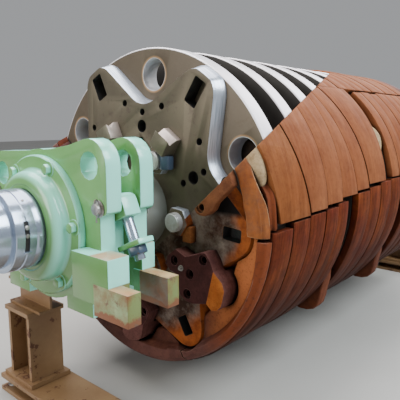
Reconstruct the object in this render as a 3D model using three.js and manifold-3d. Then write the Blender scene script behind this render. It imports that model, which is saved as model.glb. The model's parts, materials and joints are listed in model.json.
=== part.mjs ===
// Scrap shredder rotor: a shaft with ten steel discs, a star plate on each end, hammers on
// pins, wear caps round the lower and rear part, and a bearing housing on a steel stand at
// each end. Millimetres, +Z up. The shaft runs along Y, with the front end at -Y.
// The origin is on the floor, under the middle of the drum.
import * as THREE from "three";
import { mergeVertices } from "three/addons/utils/BufferGeometryUtils.js";
import Module from "manifold-3d";

const wasm = await Module();
wasm.setup();

// Fits.
const touchGap = 0.3;
const sideGap = 3;

// Drum: y counts from the front face of the first disc, angles from +X towards +Z.
const axisHeight = 950;
const discRadius = 800;
const seatRadius = 772;
const discThickness = 94;
const discPitch = 255;
const discCount = 10;
const drumLength = discPitch * (discCount - 1) + discThickness;
const rimFacets = 48;

// Shaft radii and where they change, counted outwards from the drum's end face.
const coreRadius = 240;
const coreFacets = 24;
const shoulderRadius = 200;
const shoulderEnd = 378;
const journalRadius = 160;
const clampRadius = 165;
const clampFrom = 722;
const clampTo = 836;
const stubRadius = 147;
const stubEnd = 1130;
const stubChamfer = 12;
const shaftFacets = 32;

// Six pin rows, and the star plate lobes between them.
const rowCount = 6;
const rowStep = 360 / rowCount;
const pinAngle = 25.8;
const pinCircle = 670;
const pinRadius = 78;
const pinFacets = 24;
const pinHoleFacets = 12;
const pinRows = [0, 2, 3, 4, 5];
const pinPlateRows = [0, 3, 4, 5];

// Star plate, with its tie rod ends and lock blocks. The lobes count from the one at the right,
// each with the circle its centre lies on, its turn from the even spacing, its radius and its
// window. The four on the lower side are worn back.
const starThickness = 70;
const lobes = [
  { circle: 600, turn: -0.8, radius: 98, window: [552, 652, 30], blockTurn: -7 },
  { circle: 670, turn: 0, radius: 110, window: [620, 748, 37], blockTurn: 0 },
  { circle: 670, turn: 0, radius: 110, window: [620, 748, 37], blockTurn: 0 },
  { circle: 640, turn: 0, radius: 98, window: [590, 688, 31], blockTurn: 0 },
  { circle: 640, turn: 0, radius: 98, window: [590, 688, 31], blockTurn: 0 },
  { circle: 640, turn: 4.2, radius: 98, window: [590, 688, 31], blockTurn: 0 },
];
const valleyRadius = 150;
const tieCircle = 300;
const nutRadius = 78;
const nutThickness = 46;
const tieRadius = 45;
const tieLength = 74;
const blockInner = 395;
const blockOuter = 490;
const blockHalfWidth = 55;
const blockNotch = 26;
const blockThickness = 80;

// Wear caps, the end ring and the plates that hold the pins in.
const capRadius = 812;
const capArcStep = 7.5;
const capInner = (seatRadius + touchGap) / Math.cos(Math.PI / rimFacets);
const jointRaised = 2.5;
const jointHalfGap = 0.3;
const ringFront = 110;
const lipOuter = 792;
const lipInner = 640;
const openLipInner = 735;
const fingerInner = 690;
const openLipOuter = 802;
const ringLobeGap = 4;
const pinPlateInner = 345;
const pinPlateNeck = 74;
const pinPlateEar = [
  [440, 74],
  [468, 104],
  [486, 160],
  [508, 178],
  [536, 172],
  [578, 106],
];
const pinPlateHead = 108;
const pinPlateHeadAt = 612;
const pinPlateFillerAt = 632;
const pinPlateFiller = 98;
const pinPlateThickness = 78;

// The caps, ring and pin plates are off above two slanting planes, one on each side. The
// planes meet on top, at two thirds of the drum's length.
const rightNormal = new THREE.Vector3(0.6106, 0.3755, -0.6972).normalize();
const leftNormal = new THREE.Vector3(-0.6106, 0.504, -0.6972).normalize();
const rightOffset = 180;
const leftOffset = 198;
const cutReach = 9000;

// Hammers.
const hammerHalfWidth = 130;
const hammerLength = 250;
const hammerCorner = 60;
const hammerThickness = 90;
const hammerSideGap = 12;
const hammerHole = 78.8;

// Bearing housing, counted from the drum's end face.
const wallFront = 620;
const lugThickness = 70;
const wallRear = 384;
const barrelRadius = 325;
const barrelFacets = 32;
const boreRadius = 160.9;
const lugX = 335;
const lugZ = 272;
const lowLugZ = 200;
const lugRadius = 103;
const lugHole = 55;
const lugBottom = 88;
const topEdge = [
  [205, 345],
  [80, 326],
  [-120, 312],
];
const plateSide = 395;
const plateBottom = -235;
const sideWall = 328;
const baseFrom = 150;
const baseTo = 330;
const baseBottom = -340;
const footFront = 690;
const footTo = 520;
const rearFootTo = 440;
const footTop = -50;
const wornFrom = 432;
const wornTo = 624;
const wornRearTo = 592;
const wornTop = -156;
const wornBottom = -277;
const wornDepth = 62;
const wornRearFront = 462;

// Flange cover with its bulging ring.
const coverRadius = 300;
const coverFront = 650;
const bulgeRadius = 236;
const bulgeFront = 715;
const bulgeCurve = 40;

// Swing bolts, one in each pair of lugs.
const hingeX = 390;
const hingeZ = 112;
const hingeRadius = 22;
const hingeEnd = 14;
const eyeHole = 22.9;
const eyeHalfWidth = 44;
const eyeAbove = 46;
const eyeBelow = 52;
const boltHalfDepth = 40;
const boltLean = 25;
const rodRadius = 22;
const pressureAt = 150;
const pressureHalfWidth = 68;
const pressureThickness = 22;
const boltNutRadius = 40;
const boltNutThickness = 34;
const rodEnd = 226;

// Stands: a short beam under one pad of the housing, on a column with a long base.
const beamDepth = 140;
const beamWidth = 130;
const beamFrom = -450;
const beamTo = -170;
const beamWeb = 12;
const beamFlange = 14;
const columnFrom = -430;
const columnTo = -230;
const columnWidth = 180;
const columnWall = 22;
const baseWidth = 250;
const baseHalfLength = 480;
const baseDepth = 90;
const baseWeb = 20;
const baseFlange = 22;

const bare = { color: 0x6c6252, roughness: 0.5, metalness: 0.8 };
const bright = { color: 0xb9bec4, roughness: 0.25, metalness: 0.95 };
const rust = { color: 0x8c4a26, roughness: 0.8, metalness: 0.25 };
const darkRust = { color: 0x4a2a28, roughness: 0.75, metalness: 0.3 };
const green = { color: 0x78a56e, roughness: 0.35, metalness: 0 };
const brown = { color: 0x7b5838, roughness: 0.6, metalness: 0 };

const radians = THREE.MathUtils.degToRad;

// A closed geometry as a solid that can be joined and cut, and back.
function solidOf(geometry) {
  const bareGeometry = geometry.index ? geometry.toNonIndexed() : geometry.clone();
  bareGeometry.deleteAttribute("normal");
  bareGeometry.deleteAttribute("uv");
  const merged = mergeVertices(bareGeometry, 1e-3);
  return new wasm.Manifold(
    new wasm.Mesh({
      numProp: 3,
      vertProperties: merged.attributes.position.array,
      triVerts: new Uint32Array(merged.index.array),
    }),
  );
}

function geometryOf(solid) {
  const mesh = solid.getMesh();
  const geometry = new THREE.BufferGeometry();
  geometry.setAttribute("position", new THREE.BufferAttribute(mesh.vertProperties, 3));
  geometry.setIndex(new THREE.BufferAttribute(mesh.triVerts, 1));
  geometry.computeVertexNormals();
  return geometry;
}

function join(geometries) {
  return geometryOf(geometries.map(solidOf).reduce((all, next) => all.add(next)));
}

// Where a cut leaves loose slivers, only the largest body is kept.
function cut(geometry, tools) {
  const left = tools.map(solidOf).reduce((rest, tool) => rest.subtract(tool), solidOf(geometry));
  const bodies = left.decompose().sort((one, other) => other.volume() - one.volume());
  return geometryOf(bodies[0]);
}

// Outlines lie in the XZ plane, seen from the front.
function polar(radius, degrees) {
  return new THREE.Vector2(radius * Math.cos(radians(degrees)), radius * Math.sin(radians(degrees)));
}

function arcPoints(centre, radius, from, to, steps) {
  return Array.from({ length: steps + 1 }, (_, i) =>
    polar(radius, from + ((to - from) * i) / steps).add(centre),
  );
}

function circlePoints(centre, radius, facets, phase = 0) {
  return arcPoints(centre, radius, phase, phase + 360, facets).slice(0, facets);
}

function rectanglePoints(x0, z0, x1, z1) {
  return [
    new THREE.Vector2(x0, z0),
    new THREE.Vector2(x1, z0),
    new THREE.Vector2(x1, z1),
    new THREE.Vector2(x0, z1),
  ];
}

function turned(points, degrees) {
  const middle = new THREE.Vector2();
  return points.map((point) => point.clone().rotateAround(middle, radians(degrees)));
}

// A plate with the given outline and holes, from yFrom to yTo.
function plate(outline, holes, yFrom, yTo) {
  const shape = new THREE.Shape(outline);
  shape.holes = holes.map((points) => new THREE.Path(points));
  return new THREE.ExtrudeGeometry(shape, { depth: yTo - yFrom, bevelEnabled: false })
    .rotateX(Math.PI / 2)
    .translate(0, yTo, 0);
}

// A solid of revolution about the shaft: rows of [radius, y], from the low end to the high.
function revolved(profile, facets) {
  return new THREE.LatheGeometry(
    profile.map(([radius, y]) => new THREE.Vector2(radius, y)),
    facets,
  );
}

function sector(inner, outer, from, to, yFrom, yTo) {
  const steps = Math.max(2, Math.ceil((to - from) / capArcStep));
  const middle = new THREE.Vector2();
  const outline = [
    ...arcPoints(middle, outer, from, to, steps),
    ...arcPoints(middle, inner, to, from, steps),
  ];
  return plate(outline, [], yFrom, yTo);
}

const rotor = new THREE.Group();
const frontEnd = new THREE.Group();
const rearEnd = new THREE.Group();

function add(group, name, geometry, look) {
  const mesh = new THREE.Mesh(geometry, new THREE.MeshStandardMaterial(look));
  mesh.name = name;
  group.add(mesh);
  return mesh;
}

const rowAngle = (row) => pinAngle + rowStep * row;
const discFrom = (disc) => discPitch * disc;
const gapTo = (gap) => discPitch * (gap + 1);

// The shaft is one forging, thickest inside the drum. The front half is turned as listed,
// and the rear half is its mirror image.
function shaftGeometry() {
  const frontHalf = [
    [0, -stubEnd],
    [stubRadius - stubChamfer, -stubEnd],
    [stubRadius, -stubEnd + stubChamfer],
    [stubRadius, -clampTo],
    [clampRadius, -clampTo],
    [clampRadius, -clampFrom],
    [journalRadius, -clampFrom],
    [journalRadius, -shoulderEnd],
    [shoulderRadius, -shoulderEnd],
    [shoulderRadius, -touchGap],
  ];
  const rearHalf = frontHalf.map(([radius, y]) => [radius, drumLength - y]).reverse();
  const ends = revolved([...frontHalf, ...rearHalf], shaftFacets);
  const core = revolved(
    [
      [0, 0],
      [coreRadius, 0],
      [coreRadius, drumLength],
      [0, drumLength],
    ],
    coreFacets,
  );
  return join([ends, core]);
}

// What the slanting planes clear: the space above both of them, less a margin.
function clearedSpace(margin) {
  const side = (normal, offset) =>
    new THREE.BoxGeometry(cutReach, cutReach, cutReach)
      .applyQuaternion(new THREE.Quaternion().setFromUnitVectors(new THREE.Vector3(0, 0, 1), normal))
      .translate(...normal.clone().multiplyScalar(offset - margin - cutReach / 2).toArray());
  return solidOf(side(rightNormal, rightOffset)).intersect(solidOf(side(leftNormal, leftOffset)));
}
const cleared = geometryOf(clearedSpace(0));

// The bare part of each disc has its full radius, and the part under the caps is worn down to
// their seat.
function discGeometry(index) {
  const middle = new THREE.Vector2();
  const front = discFrom(index);
  const back = front + discThickness;
  const holeRadius = (pinRadius + touchGap) / Math.cos(Math.PI / pinHoleFacets);
  const pinHoles = Array.from({ length: rowCount }, (_, row) =>
    circlePoints(polar(pinCircle, rowAngle(row)), holeRadius, pinHoleFacets),
  );
  const bore = circlePoints(middle, coreRadius + 2 * touchGap, coreFacets, 90);
  const seat = plate(circlePoints(middle, seatRadius, rimFacets), [bore, ...pinHoles], front, back);
  const full = plate(circlePoints(middle, discRadius, rimFacets), [bore, ...pinHoles], front, back);
  return geometryOf(solidOf(seat).add(solidOf(full).intersect(clearedSpace(touchGap))));
}

// The star outline swings out round six lobes and in round the six pins.
const lobeAngle = (row) => rowAngle(row) - rowStep / 2 + lobes[row].turn;
const lobeCentre = (row) => polar(lobes[row].circle, lobeAngle(row));
const pinCentre = (row) => polar(pinCircle, rowAngle(row));

function starOutline(grow) {
  const valley = valleyRadius - grow;
  const towards = (from, to) => THREE.MathUtils.radToDeg(to.clone().sub(from).angle());
  const tangent = (from, to, reach) => THREE.MathUtils.radToDeg(Math.acos(reach / from.distanceTo(to)));
  const points = [];
  for (let row = 0; row < rowCount; row += 1) {
    const next = (row + 1) % rowCount;
    const radius = lobes[row].radius + grow;
    const [lobe, nextLobe] = [lobeCentre(row), lobeCentre(next)];
    const [before, pin] = [pinCentre((row + rowCount - 1) % rowCount), pinCentre(row)];
    const lobeStart = towards(lobe, before) + tangent(lobe, before, radius + valley);
    const lobeEnd = towards(lobe, pin) - tangent(lobe, pin, radius + valley);
    const valleyStart = towards(pin, lobe) - tangent(pin, lobe, radius + valley);
    const nextReach = lobes[next].radius + grow + valley;
    const valleyEnd = towards(pin, nextLobe) + tangent(pin, nextLobe, nextReach);
    const lobeTurn = THREE.MathUtils.euclideanModulo(lobeEnd - lobeStart, 360);
    const valleyTurn = THREE.MathUtils.euclideanModulo(valleyStart - valleyEnd, 360);
    points.push(...arcPoints(lobe, radius, lobeStart, lobeStart + lobeTurn, 6));
    points.push(...arcPoints(pin, valley, valleyStart, valleyStart - valleyTurn, 4));
  }
  return points;
}

// Star plate with six windows, six tie rod ends with their nuts, and six notched lock blocks.
function starGeometry() {
  const middle = new THREE.Vector2();
  const face = -touchGap;
  const front = face - starThickness;
  const windows = lobes.map(({ window: [inner, outer, half] }, row) =>
    turned(rectanglePoints(inner, -half, outer, half), lobeAngle(row)),
  );
  const bore = circlePoints(middle, shoulderRadius + 2 * touchGap, shaftFacets);
  const pieces = [plate(starOutline(0), [bore, ...windows], front, face)];
  const blockOutline = [
    new THREE.Vector2(blockInner, -blockHalfWidth),
    new THREE.Vector2(blockOuter, -blockHalfWidth),
    new THREE.Vector2(blockOuter - blockNotch, 0),
    new THREE.Vector2(blockOuter, blockHalfWidth),
    new THREE.Vector2(blockInner, blockHalfWidth),
  ];
  for (let row = 0; row < rowCount; row += 1) {
    const angle = rowAngle(row) - rowStep / 2 + lobes[row].blockTurn;
    const centre = polar(tieCircle, angle);
    const seat = front + 1;
    pieces.push(plate(circlePoints(centre, nutRadius, 6, angle), [], front - nutThickness, seat));
    pieces.push(plate(circlePoints(centre, tieRadius, 8), [], front - tieLength, seat));
    pieces.push(plate(turned(blockOutline, angle), [], front - blockThickness, seat));
  }
  return join(pieces);
}

// Each row of caps reaches from joint to joint. The joint over the right-hand side sits higher.
function rowEdges(row) {
  const jointAt = (joint) => rowAngle(joint) - rowStep / 2;
  const from = row === 0 ? jointRaised : jointAt(row);
  const to = row === rowCount - 1 ? jointRaised + 360 : jointAt(row + 1);
  return [from + jointHalfGap, to - jointHalfGap];
}

// A stretch of a cap row: a shell over the disc rims.
function capGeometry(row, yFrom, yTo) {
  const [from, to] = rowEdges(row);
  return cut(sector(capInner, capRadius, from, to, yFrom, yTo), [cleared]);
}

// End ring segment: a rim over the end disc, and a lip in front of it that clears the star.
// Where a pin plate holds the pin in, the lip reaches further in and clears the plate too.
function ringGeometry(row) {
  const [from, to] = rowEdges(row);
  const deep = row >= 3;
  const openInner = row === 0 ? fingerInner : openLipInner;
  const [inner, outer] = deep ? [lipInner, lipOuter] : [openInner, openLipOuter];
  const lip = sector(inner, outer, from, to, -ringFront, -2 * touchGap);
  const rim = sector(capInner, capRadius, from, to, -1, discThickness);
  const tools = [plate(starOutline(ringLobeGap), [], -ringFront - 1, 0), cleared];
  if (pinPlateRows.includes(row)) {
    for (const [at, radius] of [
      [pinPlateHeadAt, pinPlateHead],
      [pinPlateFillerAt, pinPlateFiller],
    ]) {
      const outline = circlePoints(polar(at, rowAngle(row)), radius + ringLobeGap, 20);
      tools.push(plate(outline, [], -ringFront - 1, 0));
    }
  }
  return cut(join([lip, rim]), tools);
}

// Plate that holds a hammer pin in: a notched neck on the star plate, two bolted ears, and a
// round head with a filler behind it in front of the pin. The upper one has no filler.
function pinPlateGeometry(row) {
  const back = -starThickness - 2 * touchGap;
  const front = back - pinPlateThickness;
  const ear = pinPlateEar.map(([along, across]) => new THREE.Vector2(along, across));
  const neck = [
    new THREE.Vector2(pinPlateInner + blockNotch, 0),
    new THREE.Vector2(pinPlateInner, -pinPlateNeck),
    ...ear.map((point) => new THREE.Vector2(point.x, -point.y)),
    ...ear.reverse(),
    new THREE.Vector2(pinPlateInner, pinPlateNeck),
  ];
  const head = circlePoints(polar(pinPlateHeadAt, 0), pinPlateHead, 20);
  const filler = circlePoints(polar(pinPlateFillerAt, 0), pinPlateFiller, 20);
  const pieces = [
    plate(turned(neck, rowAngle(row)), [], front, back),
    plate(turned(head, rowAngle(row)), [], front, back),
  ];
  if (row > 0) pieces.push(plate(turned(filler, rowAngle(row)), [], back - 1, -2 * touchGap));
  return cut(join(pieces), [cleared]);
}

function pinGeometry(row) {
  const centre = polar(pinCircle, rowAngle(row));
  return plate(circlePoints(centre, pinRadius, pinFacets), [], discThickness + sideGap, drumLength);
}

// A hammer hangs straight down from its pin, at the back of a gap between two discs.
function hammerGeometry(row, gap) {
  const centre = polar(pinCircle, rowAngle(row));
  const straight = hammerLength - hammerCorner;
  const reach = hammerHalfWidth - hammerCorner;
  const outline = [
    ...arcPoints(new THREE.Vector2(), hammerHalfWidth, 0, 180, 12),
    ...arcPoints(new THREE.Vector2(-reach, -straight), hammerCorner, 180, 270, 4),
    ...arcPoints(new THREE.Vector2(reach, -straight), hammerCorner, 270, 360, 4),
  ].map((point) => point.add(centre));
  const back = gapTo(gap) - hammerSideGap;
  return plate(
    outline,
    [circlePoints(centre, hammerHole, pinFacets)],
    back - hammerThickness,
    back,
  );
}

// Front view outline of one of the two wall plates. The lug on the left is the lower one, and
// the top edge slopes gently from lug to lug.
function wallOutline() {
  const corner = 26;
  const lugSide = (height, lastTurn) => [
    new THREE.Vector2(plateSide, plateBottom),
    new THREE.Vector2(plateSide, lugBottom),
    ...arcPoints(new THREE.Vector2(lugX + lugRadius - corner, lugBottom + corner), corner, 270, 360, 3),
    ...arcPoints(new THREE.Vector2(lugX, height), lugRadius, 0, lastTurn, 6),
  ];
  return [
    ...lugSide(lugZ, 105),
    ...topEdge.map(([x, z]) => new THREE.Vector2(x, z)),
    ...lugSide(lowLugZ, 90).map((point) => new THREE.Vector2(-point.x, point.y)).reverse(),
  ];
}

function mirroredBox(x0, x1, yFrom, yTo, z0, z1) {
  return [
    plate(rectanglePoints(x0, z0, x1, z1), [], yFrom, yTo),
    plate(rectanglePoints(-x1, z0, -x0, z1), [], yFrom, yTo),
  ];
}

// Bearing housing: a round barrel between two wall plates with lugs, forked feet, base pads,
// and the two hinge pins. Split at no seam: it is one casting.
function housingGeometry() {
  const middle = new THREE.Vector2();
  const frontBack = -wallFront + lugThickness;
  const rearFront = -wallRear - lugThickness;
  const lugHoles = [
    circlePoints(new THREE.Vector2(lugX, lugZ), lugHole, 12),
    circlePoints(new THREE.Vector2(-lugX, lowLugZ), lugHole, 12),
  ];
  const pieces = [
    plate(circlePoints(middle, barrelRadius, barrelFacets), [], -wallFront, -wallRear),
    plate(wallOutline(), lugHoles, -wallFront, frontBack),
    plate(wallOutline(), lugHoles, rearFront, -wallRear),
    plate(rectanglePoints(-sideWall, plateBottom, sideWall, lugBottom), [], frontBack - 1, rearFront + 1),
    ...mirroredBox(baseFrom, baseTo, -wallFront, -wallRear, baseBottom, 0),
    ...mirroredBox(baseTo - 30, footTo, -footFront, -footFront + 100, plateBottom, footTop),
    ...mirroredBox(plateSide - 1, rearFootTo, rearFront, -wallRear, wornTop - 1, footTop),
    ...mirroredBox(wornFrom, wornTo, -footFront, -footFront + wornDepth, wornBottom, wornTop),
    ...mirroredBox(plateSide - 1, wornRearTo, -wornRearFront, -wornRearFront + wornDepth, wornBottom, wornTop),
  ];
  for (const x of [hingeX, -hingeX]) {
    const pin = circlePoints(new THREE.Vector2(x, hingeZ), hingeRadius, 12);
    pieces.push(plate(pin, [], -wallFront - hingeEnd, -wallRear + hingeEnd));
  }
  const bore = plate(circlePoints(middle, boreRadius, shaftFacets), [], -wallFront - 1, -wallRear + 1);
  return cut(join(pieces), [bore]);
}

// Flange cover: a flat ring with a rounded bulge round the shaft.
function coverGeometry() {
  const inner = boreRadius;
  const bend = 3;
  const curve = Array.from({ length: bend + 1 }, (_, i) => {
    const angle = (Math.PI / 2) * (i / bend);
    return [
      bulgeRadius - bulgeCurve * (1 - Math.sin(angle)),
      -bulgeFront + bulgeCurve * (1 - Math.cos(angle)),
    ];
  });
  return revolved(
    [
      [inner, -wallFront - touchGap],
      [inner, -bulgeFront],
      ...curve,
      [bulgeRadius, -coverFront],
      [coverRadius, -coverFront],
      [coverRadius, -wallFront - touchGap],
      [inner, -wallFront - touchGap],
    ],
    shaftFacets,
  );
}

// Swing bolt: an eye bar on the hinge pin, a rod, a pressure plate and a nut, leaning out.
function boltGeometry(side) {
  const middleY = -(wallFront - lugThickness + wallRear + lugThickness) / 2;
  const from = middleY - boltHalfDepth;
  const to = middleY + boltHalfDepth;
  const eye = circlePoints(new THREE.Vector2(), eyeHole, 16);
  const bar = plate(rectanglePoints(-eyeHalfWidth, -eyeBelow, eyeHalfWidth, eyeAbove), [eye], from, to);
  const rod = new THREE.CylinderGeometry(rodRadius, rodRadius, rodEnd - eyeBelow + 1, 12)
    .rotateX(Math.PI / 2)
    .translate(0, middleY, -(rodEnd + eyeBelow - 1) / 2);
  const press = plate(
    rectanglePoints(-pressureHalfWidth, -pressureAt - pressureThickness, pressureHalfWidth, -pressureAt),
    [],
    from,
    to,
  );
  const nut = new THREE.CylinderGeometry(boltNutRadius, boltNutRadius, boltNutThickness, 6)
    .rotateX(Math.PI / 2)
    .translate(0, middleY, -pressureAt - pressureThickness - boltNutThickness / 2 + 1);
  return join([bar, rod, press, nut])
    .rotateY(-radians(boltLean) * side)
    .translate(hingeX * side, 0, hingeZ);
}

// A beam of H section along X, with its top at topZ.
function beamGeometry(x0, x1, y, topZ, width, depth, web, flange) {
  const box = (yWidth, height, centreZ) =>
    new THREE.BoxGeometry(x1 - x0, yWidth, height).translate((x0 + x1) / 2, y, centreZ);
  return join([
    box(width, flange, topZ - flange / 2),
    box(web, depth - flange, topZ - depth / 2),
    box(width, flange, topZ - depth + flange / 2),
  ]);
}

// A column: two walls and a web between them, with a plate on top and another at the foot.
function columnGeometry(top, foot, y) {
  const box = (x0, x1, yWidth, z0, z1) =>
    new THREE.BoxGeometry(x1 - x0, yWidth, z1 - z0).translate((x0 + x1) / 2, y, (z0 + z1) / 2);
  return join([
    box(columnFrom, columnFrom + columnWall, columnWidth, foot + 1, top - 1),
    box(columnTo - columnWall, columnTo, columnWidth, foot + 1, top - 1),
    box(columnFrom + 1, columnTo - 1, columnWall, foot + 1, top - 1),
    box(columnFrom - 10, columnTo + 10, columnWidth + 20, top - columnWall, top),
    box(columnFrom - 30, columnTo + 30, columnWidth + 40, foot, foot + columnWall),
  ]);
}

add(rotor, "shaft", shaftGeometry(), bright);
for (let index = 0; index < discCount; index += 1) {
  add(rotor, "disc_" + String(index + 1).padStart(2, "0"), discGeometry(index), bare);
}

const star = starGeometry();
add(rotor, "star_plate_front", star, bare);
const rearStar = add(rotor, "star_plate_rear", star, rust);
rearStar.scale.y = -1;
rearStar.position.y = drumLength;

for (const row of pinRows) add(rotor, "hammer_pin_" + (row + 1), pinGeometry(row), rust);

// Gaps count from 0 at the front. The right-hand rows leave a slot open at the back of each gap
// that holds a hammer.
const capStart = discThickness + sideGap;
const capEnd = drumLength - discThickness - sideGap;
const upperHammers = [4];
const lowerHammers = [2, 5];
const afterSlot = (gap) => gapTo(gap) + sideGap;
const beforeSlot = (gap) => gapTo(gap) - hammerThickness - 2 * hammerSideGap;
const caps = [
  ["cap_upper_right_front", 0, capStart, beforeSlot(upperHammers[0])],
  ["cap_upper_right_rear", 0, afterSlot(upperHammers[0]), capEnd],
  ["cap_lower_right_front", 5, capStart, beforeSlot(lowerHammers[0])],
  ["cap_lower_right_middle", 5, afterSlot(lowerHammers[0]), beforeSlot(lowerHammers[1])],
  ["cap_lower_right_rear", 5, afterSlot(lowerHammers[1]), capEnd],
  ["cap_bottom", 4, capStart, capEnd],
  ["cap_lower_left", 3, capStart, capEnd],
  ["cap_upper_left", 2, capStart, capEnd],
  ["cap_top_rear", 1, capStart, capEnd],
];
for (const [name, row, yFrom, yTo] of caps) add(rotor, name, capGeometry(row, yFrom, yTo), rust);

for (const row of pinRows) {
  add(rotor, "end_ring_front_" + (row + 1), ringGeometry(row), rust);
}
for (const row of pinPlateRows) add(rotor, "pin_plate_" + (row + 1), pinPlateGeometry(row), darkRust);

// The rear end ring is whole, and its inner edge covers the pins' ends.
const middlePoint = new THREE.Vector2();
const rearLip = plate(
  circlePoints(middlePoint, openLipOuter, rimFacets),
  [circlePoints(middlePoint, openLipInner, rimFacets)],
  drumLength + 2 * touchGap,
  drumLength + ringFront,
);
const rearRim = plate(
  circlePoints(middlePoint, capRadius, rimFacets),
  [circlePoints(middlePoint, capInner, rimFacets)],
  drumLength - discThickness,
  drumLength + 1,
);
const rearStarSpace = plate(starOutline(ringLobeGap), [], drumLength, drumLength + ringFront + 1);
add(rotor, "end_ring_rear", cut(join([rearLip, rearRim]), [rearStarSpace]), rust);

for (const gap of upperHammers) add(rotor, "hammer_upper_" + (gap + 1), hammerGeometry(0, gap), rust);
for (const gap of lowerHammers) add(rotor, "hammer_lower_" + (gap + 1), hammerGeometry(5, gap), rust);

const housing = housingGeometry();
const cover = coverGeometry();
const bolts = [
  ["right", boltGeometry(1)],
  ["left", boltGeometry(-1)],
];
const standY = -(wallFront + wallRear) / 2;
const beamTop = baseBottom - touchGap;
const columnTop = beamTop - beamDepth - touchGap;
const baseTop = baseDepth - axisHeight;
const beam = beamGeometry(beamFrom, beamTo, standY, beamTop, beamWidth, beamDepth, beamWeb, beamFlange);
const column = columnGeometry(columnTop, baseTop + touchGap, standY);
const base = beamGeometry(
  -baseHalfLength,
  baseHalfLength,
  standY,
  baseTop,
  baseWidth,
  baseDepth,
  baseWeb,
  baseFlange,
);
for (const [end, group] of [
  ["front", frontEnd],
  ["rear", rearEnd],
]) {
  add(group, "housing_" + end, housing, green);
  add(group, "flange_cover_" + end, cover, green);
  for (const [side, geometry] of bolts) add(group, "swing_bolt_" + end + "_" + side, geometry, green);
  add(group, "stand_beam_" + end, beam, brown);
  add(group, "stand_column_" + end, column, brown);
  add(group, "stand_base_" + end, base, brown);
}
rearEnd.rotation.z = Math.PI;
rearEnd.position.y = drumLength;

const shredderRotor = new THREE.Group();
shredderRotor.add(rotor, frontEnd, rearEnd);
shredderRotor.position.set(0, -drumLength / 2, axisHeight);

export default shredderRotor;
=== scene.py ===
import json
import math

import bpy
from mathutils import Matrix, Vector

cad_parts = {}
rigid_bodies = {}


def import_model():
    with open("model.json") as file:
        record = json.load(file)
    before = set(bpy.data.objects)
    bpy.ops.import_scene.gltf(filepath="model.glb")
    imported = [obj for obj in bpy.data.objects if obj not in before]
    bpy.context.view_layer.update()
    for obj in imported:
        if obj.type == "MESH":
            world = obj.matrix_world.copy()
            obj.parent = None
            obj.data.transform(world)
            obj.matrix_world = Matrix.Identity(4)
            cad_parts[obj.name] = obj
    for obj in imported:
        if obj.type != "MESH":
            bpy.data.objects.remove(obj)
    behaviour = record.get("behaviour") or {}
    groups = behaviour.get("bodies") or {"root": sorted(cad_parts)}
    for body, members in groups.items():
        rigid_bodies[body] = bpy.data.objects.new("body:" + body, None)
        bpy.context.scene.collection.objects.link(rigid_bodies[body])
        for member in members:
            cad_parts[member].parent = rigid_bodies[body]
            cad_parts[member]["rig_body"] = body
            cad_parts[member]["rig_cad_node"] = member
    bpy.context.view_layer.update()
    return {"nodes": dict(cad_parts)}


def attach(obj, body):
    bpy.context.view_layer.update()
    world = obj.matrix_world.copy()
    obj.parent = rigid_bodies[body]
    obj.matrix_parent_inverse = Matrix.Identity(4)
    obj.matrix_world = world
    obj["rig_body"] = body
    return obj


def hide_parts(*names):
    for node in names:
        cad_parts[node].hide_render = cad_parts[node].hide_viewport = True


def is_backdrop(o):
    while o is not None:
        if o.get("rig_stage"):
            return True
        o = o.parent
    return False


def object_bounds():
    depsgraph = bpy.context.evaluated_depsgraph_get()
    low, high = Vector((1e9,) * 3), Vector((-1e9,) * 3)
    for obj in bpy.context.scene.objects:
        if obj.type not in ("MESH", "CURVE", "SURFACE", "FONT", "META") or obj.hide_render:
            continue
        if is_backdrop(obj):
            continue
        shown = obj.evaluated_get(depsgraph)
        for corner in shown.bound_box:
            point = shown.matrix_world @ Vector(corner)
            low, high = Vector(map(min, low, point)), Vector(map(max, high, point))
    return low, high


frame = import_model()

# Camera, floor and studio lights.
# The camera stands in front of the rotor's bare end, to the right of it and above the shaft.
# The floor is plain and pale. Wide soft lights hang above, on the right, in front and behind.
def pick(*pieces):
    """Selects these pieces and nothing else."""
    bpy.ops.object.select_all(action="DESELECT")
    for piece in pieces:
        piece.select_set(True)
    if pieces:
        bpy.context.view_layer.objects.active = pieces[0]


pick()
bpy.ops.object.camera_add(
    location=(1.8598, -2.9243, 1.3895), rotation=(math.radians(80.77), 0, math.radians(41.04))
)
camera = bpy.context.object
camera.data.sensor_width = 36
camera.data.lens = 43.8
camera.data.clip_end = 200
bpy.context.scene.camera = camera


def feed(tree, made, values):
    """Fills a node's inputs. Each value is a plain one or another node's output."""
    for key, value in values.items():
        if isinstance(value, bpy.types.NodeSocket):
            tree.links.new(value, made.inputs[key])
        else:
            made.inputs[key].default_value = value


def node(tree, kind, values=None, **settings):
    made = tree.nodes.new(kind)
    for key, value in settings.items():
        setattr(made, key, value)
    feed(tree, made, values or {})
    return made


def place_on_object(tree):
    return node(tree, "ShaderNodeTexCoord").outputs["Object"]


def noise(tree, place, scale, detail):
    values = {"Vector": place, "Scale": scale, "Detail": detail}
    return node(tree, "ShaderNodeTexNoise", values).outputs["Fac"]


def blend(tree, factor, first, second):
    """Mixes two colours. Each is red, green and blue, or another node's output."""
    made = node(tree, "ShaderNodeMix", {"Factor": factor}, data_type="RGBA")
    for key, colour in (("A", first), ("B", second)):
        feed(tree, made, {key: (*colour, 1) if isinstance(colour, tuple) else colour})
    return made.outputs["Result"]


def start_finish(name):
    finish = bpy.data.materials.new(name)
    finish.use_nodes = True
    return finish, finish.node_tree, finish.node_tree.nodes["Principled BSDF"]


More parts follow.
